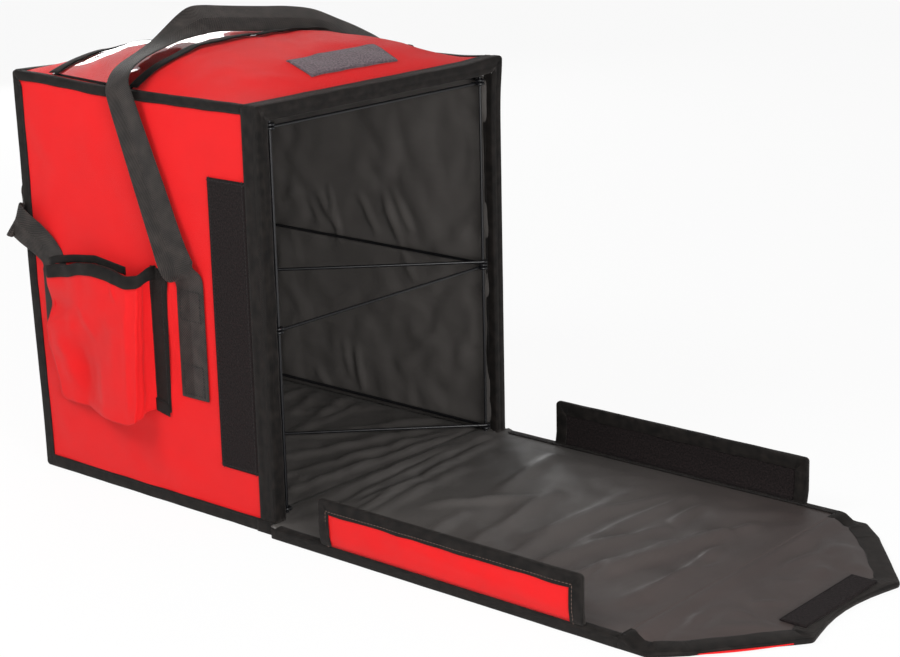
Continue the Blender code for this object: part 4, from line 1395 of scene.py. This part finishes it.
# Folds set from the photo. The factors make them all narrower and higher, as they look there.
flap_folds = thousandths([
    (-150, -470, 60, -520, 7, 4), (-80, -495, 110, -548, 8, 4.6), (-110, -565, 35, -548, 7, 4.2),
    (55, -478, 115, -474, 7, 3.4), (-60, -255, 35, -332, 10, 4.2), (-125, -365, 60, -338, 12, 4.6),
    (-140, -237, 60, -216, 10, 4), (-110, -195, 20, -212, 6, 3.2), (-145, -410, 120, -400, 14, 4),
    (-100, -440, 140, -450, 10, 3.6), (20, -290, 150, -270, 11, 3.4), (-150, -320, -40, -300, 10, 3.8),
    (150, -176, -140, -192, 5, 4), (140, -188, -150, -222, 6, 4.4), (110, -172, -80, -166, 4.5, 3),
    (-101, -495, 70, -537, 10, 4.8), (-131, -548, 20, -578, 10, 4.6), (-115, -437, 50, -482, 11, 4.8),
    (-60, -390, 120, -432, 10, 4),
]) * (1, 1, 1, 1, 0.78, 1.4)


def flap_rise(x, y):
    """How far the flap's lining stands up, flat where the rim of the mouth presses on it."""
    room = inside(x, -0.163, 0.163, 0.022) * smooth_step(-0.152 - y, 0, 0.012)
    room = room * smooth_step(y - fold_y, 0.006, 0.030)
    rise = folds_height(x, y, flap_folds) + 0.0012 + 0.0010 * ripple_grid(x, y, 0.06, 51)
    rise = rise + 0.6 * flap_wrinkles(flap_edge + x, y - fold_y)
    for height in wire_levels:
        beside_wire = smooth_step(np.abs(y - (hinge_y - height)), 0.004, 0.020)
        rise = np.minimum(rise, 0.0030 + 0.0060 * beside_wire)
    return np.clip(rise, 0, 0.0105) * room


def build_flap():
    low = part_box("flap_outer")[0].z
    lining_start_y = -0.150
    under_tape = 0.0010

    def under_place(share, y):
        half = np.interp(y, [-0.194, -0.186, front_y - 0.001, front_y + 0.002],
                         [flap_edge, half_width - 0.003, half_width - 0.003, half_width - 0.006])
        height = np.interp(y, [front_y - 0.003, front_y + 0.006], [low + cloth_thick / 2, cloth_thick / 2])
        return share * half, y, height

    def over_place(share, y):
        half = np.interp(y, [front_y - 0.001, front_y + 0.002], [flap_edge, inner_half])
        height = np.interp(y, [-0.196, -0.182, -0.170, -0.157, -0.150],
                           [flap_cloth_top, 0.0122, 0.0160, 0.0160, 0.0138]) - 0.0005
        corner = smooth_step(np.abs(share * half), 0.150, 0.166) * smooth_step(-y, 0.166, 0.173)
        height = height + (np.interp(-y, [0.176, 0.182], [0.0123, flap_cloth_top - 0.0005]) - height) * corner
        tucked = under_tape * smooth_step(np.abs(share * half), 0.168, 0.174) * smooth_step(-y, 0.176, 0.182)
        return share * half, y, height - tucked + flap_rise(share * half, y)

    under = cloth_sheet("flap_outer_cloth", np.linspace(-1, 1, 31),
                        spaced(tongue_fold_y, mouth_fold_y - 0.0002, 0.004), under_place, (flap_edge, 1))
    over = cloth_sheet("flap_lining_cloth", np.linspace(-1, 1, 91),
                       spaced(tongue_fold_y, lining_start_y, 0.004), over_place, (flap_edge, 1))
    for sheet, material, node in ((under, red_cloth, "flap_outer"), (over, lining, "flap_lining")):
        finished(give_thickness(sheet, thin_cloth), material, None, node)
        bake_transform(sheet)
    stack = flap_cloth_top - low - under_tape
    leg = 0.009
    for side, corners in (("left", [(-flap_edge, hinge_y), (-flap_edge, tongue_fold_y)]),
                          ("right", [(flap_edge, tongue_fold_y), (flap_edge, hinge_y)])):
        strip = bind_edge(f"flap_{side}_tape", corners, folded_section(leg, leg, stack),
                          lambda x, y, h: (x, y, max(low + h, 0)), wave=0.0004, seed=61.0,
                          stitch_at=[(leg - 0.002, stack + tape_stand)], body="flap")
        finished(strip, tape, "flap", f"flap_binding_{side}")


build_flap()

# %% [markdown]
# ## The tongue
# The flap ends in a thinner tongue with sloping corners and a hollow end. A wide tape runs round it, and a
# fastener sewn on that tape closes on the lid's patch.

# %% Tongue
shoulder_y = fold_y - 0.024
waist_y = shoulder_y - 0.026
tip_half = 0.075
tongue_hollow = 0.012
tongue_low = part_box("tongue_outer")[0].z
tongue_folds = thousandths([
    (-61, -600, 51, -598, 8, 2.5), (61, -640, 28, -680, 5, 2.8), (-130, -620, -60, -600, 7, 2.6),
    (-71, -630, -73, -680, 5, 2.4), (-20, -665, -50, -630, 6, 2.4), (20, -610, 120, -630, 8, 2.6),
])


def tongue_edge(y):
    """Half width of the tongue at a distance from the bag."""
    chamfer = flap_edge - 0.024
    return np.interp(-y, [-fold_y, -shoulder_y, -waist_y, -tongue_tip_y],
                     [flap_edge, flap_edge, chamfer, tip_half])


def build_tongue():
    stack = tongue_cloth_top - tongue_low
    step_down = flap_cloth_top - tongue_cloth_top - 0.0010

    def place_with(start, height_at, peek):
        def place(side, row):
            y = start + (tongue_tip_y - start) * row
            bare = np.sin(math.pi * np.clip((-0.640 - y) / 0.066, 0, 1)) * (side < -0.5)
            half = tongue_edge(y) + peek * bare
            hollow = tongue_hollow * np.cos(np.clip(side * half / tip_half, -1, 1) * math.pi / 2)
            hollow = hollow * smooth_step(-y, -waist_y, -tongue_tip_y)
            from_edge = np.minimum(half * (1 - np.abs(side)), y - tongue_tip_y)
            return side * half, y + hollow, height_at(side * half, y, from_edge)
        return place

    def under_height(x, y, from_edge):
        return tongue_low + cloth_thick / 2 + 0 * y

    def over_height(x, y, from_edge):
        height = np.interp(y, [-0.610, -0.600, -0.5935, -0.588, -0.583],
                           [0.0040, 0.0080, 0.0103, 0.0105, 0.0098])
        below_tape = 0.0034 + step_down * np.clip((y - fold_y + 0.010) / 0.010, 0, 1)
        height = np.minimum(height, below_tape + 0.020 * smooth_step(from_edge, 0.019, 0.027))
        puff = smooth_step(from_edge, 0.024, 0.055) * smooth_step(-0.600 - y, 0, 0.015)
        puff = puff * (1 - smooth_step(-y, 0.640, 0.662) * (1 - smooth_step(np.abs(x), 0.066, 0.085)))
        crumple = 0.0030 + folds_height(x, y, tongue_folds)
        return height + puff * np.maximum(crumple + 0.6 * wall_wrinkles(0.185 + x, 0.72 + y), 0)

    length = fold_y - tongue_tip_y
    for name, start, height_at, peek, material, held, rests_on in (
            ("outer", tongue_fold_y - 0.0001, under_height, 0.0065, red_cloth, "stretched", "tongue_binding"),
            ("lining", tongue_fold_y + 0.005, over_height, 0.0, lining, "laid", "tongue_outer_cloth")):
        sheet = cloth_sheet(f"tongue_{name}_cloth", np.linspace(-1, 1, 91), spaced(0, 1, 0.025),
                            place_with(start, height_at, peek), (flap_edge, length))
        finished(give_thickness(sheet, thin_cloth), material, None, f"tongue_{name}")
        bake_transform(sheet)
    leg = 0.021
    tip_y = tongue_tip_y
    hollow = [(tip_half * (share / 4 - 1), tip_y + tongue_hollow * math.sin(math.pi * share / 8))
              for share in range(1, 8)]
    left = [(-flap_edge, fold_y + 0.007), (-flap_edge, shoulder_y), (-flap_edge + 0.024, waist_y),
            (-tip_half, tip_y)]
    corners = left + hollow + [(-x, y) for x, y in reversed(left)]

    def to_world(x, y, h):
        lift = step_down * float(np.clip((y - fold_y + 0.010) / 0.010, 0, 1)) if h > stack / 2 else 0.0
        return x, y, max(tongue_low + h + lift, 0.0)

    strip = bind_edge("tongue_tape", corners, folded_section(leg / 2, leg, stack), to_world, radius=0.006,
                      step=0.004, wave=0.0008, seed=71.0, stitch_at=[(leg - 0.002, stack + tape_stand)],
                      body="tongue", sewn_below=fold_y - 0.012)
    finished(strip, tape, None, "tongue_binding")
    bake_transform(strip)
    low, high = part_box("tongue_fastener")
    fastener = thick_sheet("tongue_hooks", spaced(low.x, high.x, 0.003), spaced(low.y, high.y, 0.003),
                           lambda x, y: (x, y, (low.z + high.z) / 2 + 0 * x), high.z - low.z)
    finished(fastener, hooks, "tongue", "tongue_fastener")


build_tongue()

# %% [markdown]
# ## The wings
# A narrow panel stands on each edge of the flap. Its outer side is red, its inner side carries the fastener,
# and a tape with a pale stitch runs round its three free edges.

# %% Wings


def build_wing(side, sign):
    low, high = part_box(f"{side}_wing_outer")
    outer_x = max(abs(low.x), abs(high.x))
    stack = outer_x - min(abs(corner.x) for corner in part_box(f"{side}_wing_fastener"))
    foot = low.z - 0.0014
    ys, zs = spaced(low.y, high.y, 0.004), spaced(foot, high.z, 0.004)

    def bow(y, z):
        share = (z - low.z) / (high.z - low.z)
        room = inside(y, low.y, high.y, 0.02) * np.clip(4 * share * (1 - share), 0, 1)
        crease = (low.y + 0.03, low.z + 0.012, high.y - 0.08, low.z + 0.024, 0.005, -0.0014)
        fold = folds_height(y, z, [crease])
        sway = 0.0010 * ripple_grid(y, z, 0.08, 81 + sign)
        clear = 0.0022 * smooth_step(share, 0.0, 0.2) + 0.5 * sway * share
        return room * (fold - 0.0006 + 0.35 * wall_wrinkles(y + 0.56, z)) - clear

    body = f"{side}_wing"
    for name, inset, thickness, material, node in (
            ("outer_cloth", cloth_thick / 2, 0.0012, red_cloth, "outer"),
            ("hooks", stack - 0.0007, 0.0013, hooks, "fastener")):
        sheet = thick_sheet(f"{side}_wing_{name}", ys, zs,
                            lambda y, z, inset=inset: (sign * (outer_x - inset - bow(y, z)), y, z), thickness)
        finished(sheet, material, body, f"{side}_wing_{node}")
    leg = 0.0125

    def to_world(y, z, depth):
        sway = float(bow(np.array([[y]]), np.array([[max(low.z, min(high.z, z))]]))[0, 0])
        return sign * (outer_x - depth - sway), y, z

    corners = [(high.y, foot), (high.y, high.z), (low.y, high.z), (low.y, foot)]
    strip = bind_edge(f"{side}_wing_tape", corners, folded_section(leg, leg, stack), to_world, radius=0.0030,
                      wave=0.0008, seed=91.0 + sign, stitch_at=[(leg - 0.0035, -tape_stand)], body=body,
                      thread=brown_thread)
    finished(strip, tape, body, f"{side}_wing_binding")


for side_name, side_sign in sides:
    build_wing(side_name, side_sign)

# %% [markdown]
# ## The wire rack
# Four posts, three levels of wire and two braces, all of one lacquered wire. A Geometry Nodes tree sweeps a
# round profile along each route, because that is what a wire is. Tubes could be modelled one by one, but a
# tree lets the radius be changed in one place.

# %% Sweep wires with Geometry Nodes
wire_radius = 0.0016
eye_radius = 2 * wire_radius + 0.0004


def new_tree(name, *sockets):
    """A Geometry Nodes tree with a geometry input and output, and named inputs for its sizes."""
    tree = bpy.data.node_groups.new(name, "GeometryNodeTree")
    tree.interface.new_socket("Geometry", in_out="OUTPUT", socket_type="NodeSocketGeometry")
    tree.interface.new_socket("Geometry", in_out="INPUT", socket_type="NodeSocketGeometry")
    for socket, kind in sockets:
        tree.interface.new_socket(socket, in_out="INPUT", socket_type=kind)
    return tree, add_node(tree, "NodeGroupInput").outputs


def end_tree(tree, made, finish):
    """Turn what a tree made into one smooth mesh with its finish."""
    real = add_node(tree, "GeometryNodeRealizeInstances", {"Geometry": made})
    smooth = add_node(tree, "GeometryNodeSetShadeSmooth", {"Geometry": real.outputs[0]})
    dressed = add_node(tree, "GeometryNodeSetMaterial", {"Geometry": smooth.outputs[0], "Material": finish})
    add_node(tree, "NodeGroupOutput", {"Geometry": dressed.outputs[0]})
    return tree


def wire_tree():
    tree, given = new_tree("round_wire", ("Radius", "NodeSocketFloat"), ("Sides", "NodeSocketInt"),
                           ("Finish", "NodeSocketMaterial"))
    route = add_node(tree, "GeometryNodeMeshToCurve", {"Mesh": given["Geometry"]})
    ring = add_node(tree, "GeometryNodeCurvePrimitiveCircle",
                    {"Resolution": given["Sides"], "Radius": given["Radius"]})
    tube = add_node(tree, "GeometryNodeCurveToMesh",
                    {"Curve": route.outputs[0], "Profile Curve": ring.outputs[0], "Fill Caps": True})
    return end_tree(tree, tube.outputs[0], given["Finish"])


def line_object(name, lines):
    """An object of loose edges along some lines."""
    points, edges = [], []
    for line in lines:
        first = len(points)
        points += [tuple(point) for point in line]
        edges += [(index, index + 1) for index in range(first, len(points) - 1)]
    mesh = bpy.data.meshes.new(name)
    mesh.from_pydata(points, edges, [])
    obj = bpy.data.objects.new(name, mesh)
    scene.collection.objects.link(obj)
    return obj


def grow(obj, tree, **values):
    """Run a tree on an object with these inputs, and keep the result as its mesh."""
    modifier = obj.modifiers.new(tree.name, "NODES")
    modifier.node_group = tree
    for item in tree.interface.items_tree:
        if item.item_type == "SOCKET" and item.in_out == "INPUT" and item.name in values:
            modifier[item.identifier] = values[item.name]
    return settle(obj)


round_wire = wire_tree()

# %% [markdown]
# ## Routes of the rack
# The frame says where each post stands and how high each level is. A wire bends round the back posts and
# closes in an eye round each front one, as on a rack that folds. A brace ends in an open hook instead at the
# front right. The routes are plain lines, because the tree gives them their thickness.

# %% Routes of the rack
eye_turn, hook_turn, eye_steps = math.radians(300), math.radians(110), 14


def post_at(name):
    low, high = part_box(f"rack_post_{name}")
    return Vector(((low.x + high.x) / 2, (low.y + high.y) / 2, 0)), low.z, high.z


posts = {name: post_at(name)[0] for name in ("front_left", "front_right", "back_left", "back_right")}
posts["front_left"] += Vector((0.003, -0.0015, 0))
posts["front_right"] += Vector((-0.003, -0.0015, 0))


def arc(centre, start, turn, height):
    return [centre + (Matrix.Rotation(turn * step / eye_steps, 3, "Z") @ start) * eye_radius
            + Vector((0, 0, height)) for step in range(eye_steps + 1)]


def eyed_route(first, second, height, first_turn, second_turn):
    heading = (second - first).normalized()
    aside = Vector((-heading.y, heading.x, 0))
    return list(reversed(arc(first, aside, first_turn, height))) + arc(second, aside, -second_turn, height)


def bent_route(height):
    quarter = -math.pi / 2
    left, back, right = Vector((-1, 0, 0)), Vector((0, 1, 0)), Vector((1, 0, 0))
    return (list(reversed(arc(posts["front_left"], left, eye_turn, height)))
            + arc(posts["back_left"], left, quarter, height) + arc(posts["back_right"], back, quarter, height)
            + arc(posts["front_right"], right, -eye_turn, height))


def level_of(node):
    """Height of a wire. The lowest front one is tucked under the lining, where the flap folds."""
    low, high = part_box(node)
    return (low.z + high.z) / 2 - (0.0036 if node == "rack_front_wire_low" else 0.0)


def build_rack():
    routes = {}
    for name, spot in posts.items():
        _, low, high = post_at(name)
        routes[f"rack_post_{name}"] = ("bag", [spot + Vector((0, 0, low)), spot + Vector((0, 0, high))])
    for level in ("low", "middle", "top"):
        front, bent = f"rack_front_wire_{level}", f"rack_bent_wire_{level}"
        routes[front] = ("bag", eyed_route(posts["front_left"], posts["front_right"], level_of(front),
                                           eye_turn, eye_turn))
        routes[bent] = ("bag", bent_route(level_of(bent)))
    for level in ("low", "middle"):
        brace = f"rack_brace_{level}"
        route = eyed_route(posts["front_right"], posts["back_left"], level_of(brace), hook_turn, eye_turn)
        routes[brace] = (f"{level}_brace", route)
    for node, (body, route) in routes.items():
        obj = grow(line_object(node + "_wire", [route]), round_wire, Radius=wire_radius, Sides=14,
                   Finish=lacquer)
        finished(obj, lacquer, body, node)
    print(len(routes), "wires")


build_rack()

# %% [markdown]
# ## Stitches
# Each seam was noted as a line. One tree walks along every line, sets down a short rounded stitch at each
# step and turns it along the seam.

# %% Sew with Geometry Nodes


def stitch_tree():
    tree, given = new_tree("sewn_line", ("Pitch", "NodeSocketFloat"), ("Length", "NodeSocketFloat"),
                           ("Thread", "NodeSocketFloat"), ("Finish", "NodeSocketMaterial"))
    route = add_node(tree, "GeometryNodeMeshToCurve", {"Mesh": given["Geometry"]})
    steps = add_node(tree, "GeometryNodeCurveToPoints", {"Curve": route.outputs[0], "Length": given["Pitch"]},
                     mode="LENGTH")
    turn = add_node(tree, "FunctionNodeAlignRotationToVector", {"Vector": steps.outputs["Tangent"]}, axis="Z")
    bead = add_node(tree, "GeometryNodeMeshUVSphere", {"Segments": 6, "Rings": 4, "Radius": 0.5})
    size = add_node(tree, "ShaderNodeCombineXYZ",
                    {0: given["Thread"], 1: given["Thread"], 2: given["Length"]})
    row = add_node(tree, "GeometryNodeInstanceOnPoints",
                   {"Points": steps.outputs["Points"], "Instance": bead.outputs["Mesh"],
                    "Rotation": turn.outputs[0], "Scale": size.outputs[0]})
    return end_tree(tree, row.outputs[0], given["Finish"])


sewn_line = stitch_tree()
for (body_name, thread_name), lines in seams.items():
    thread = bpy.data.materials[thread_name]
    rows = grow(line_object(f"{body_name}_{thread_name}_stitches", lines), sewn_line, Pitch=0.0038,
                Length=0.0030, Thread=0.0008, Finish=thread)
    finished(rows, thread, body_name)
    print(body_name, thread_name, len(rows.data.polygons), "stitch faces")

# %% [markdown]
# ## Foam
# The frame's six foam sheets already have the right shape, and the fabric hides them all. They only need
# their finish.

# %% Foam stays from the frame
for node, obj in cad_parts.items():
    if node.endswith("_foam"):
        obj.data.materials.clear()
        obj.data.materials.append(foam)
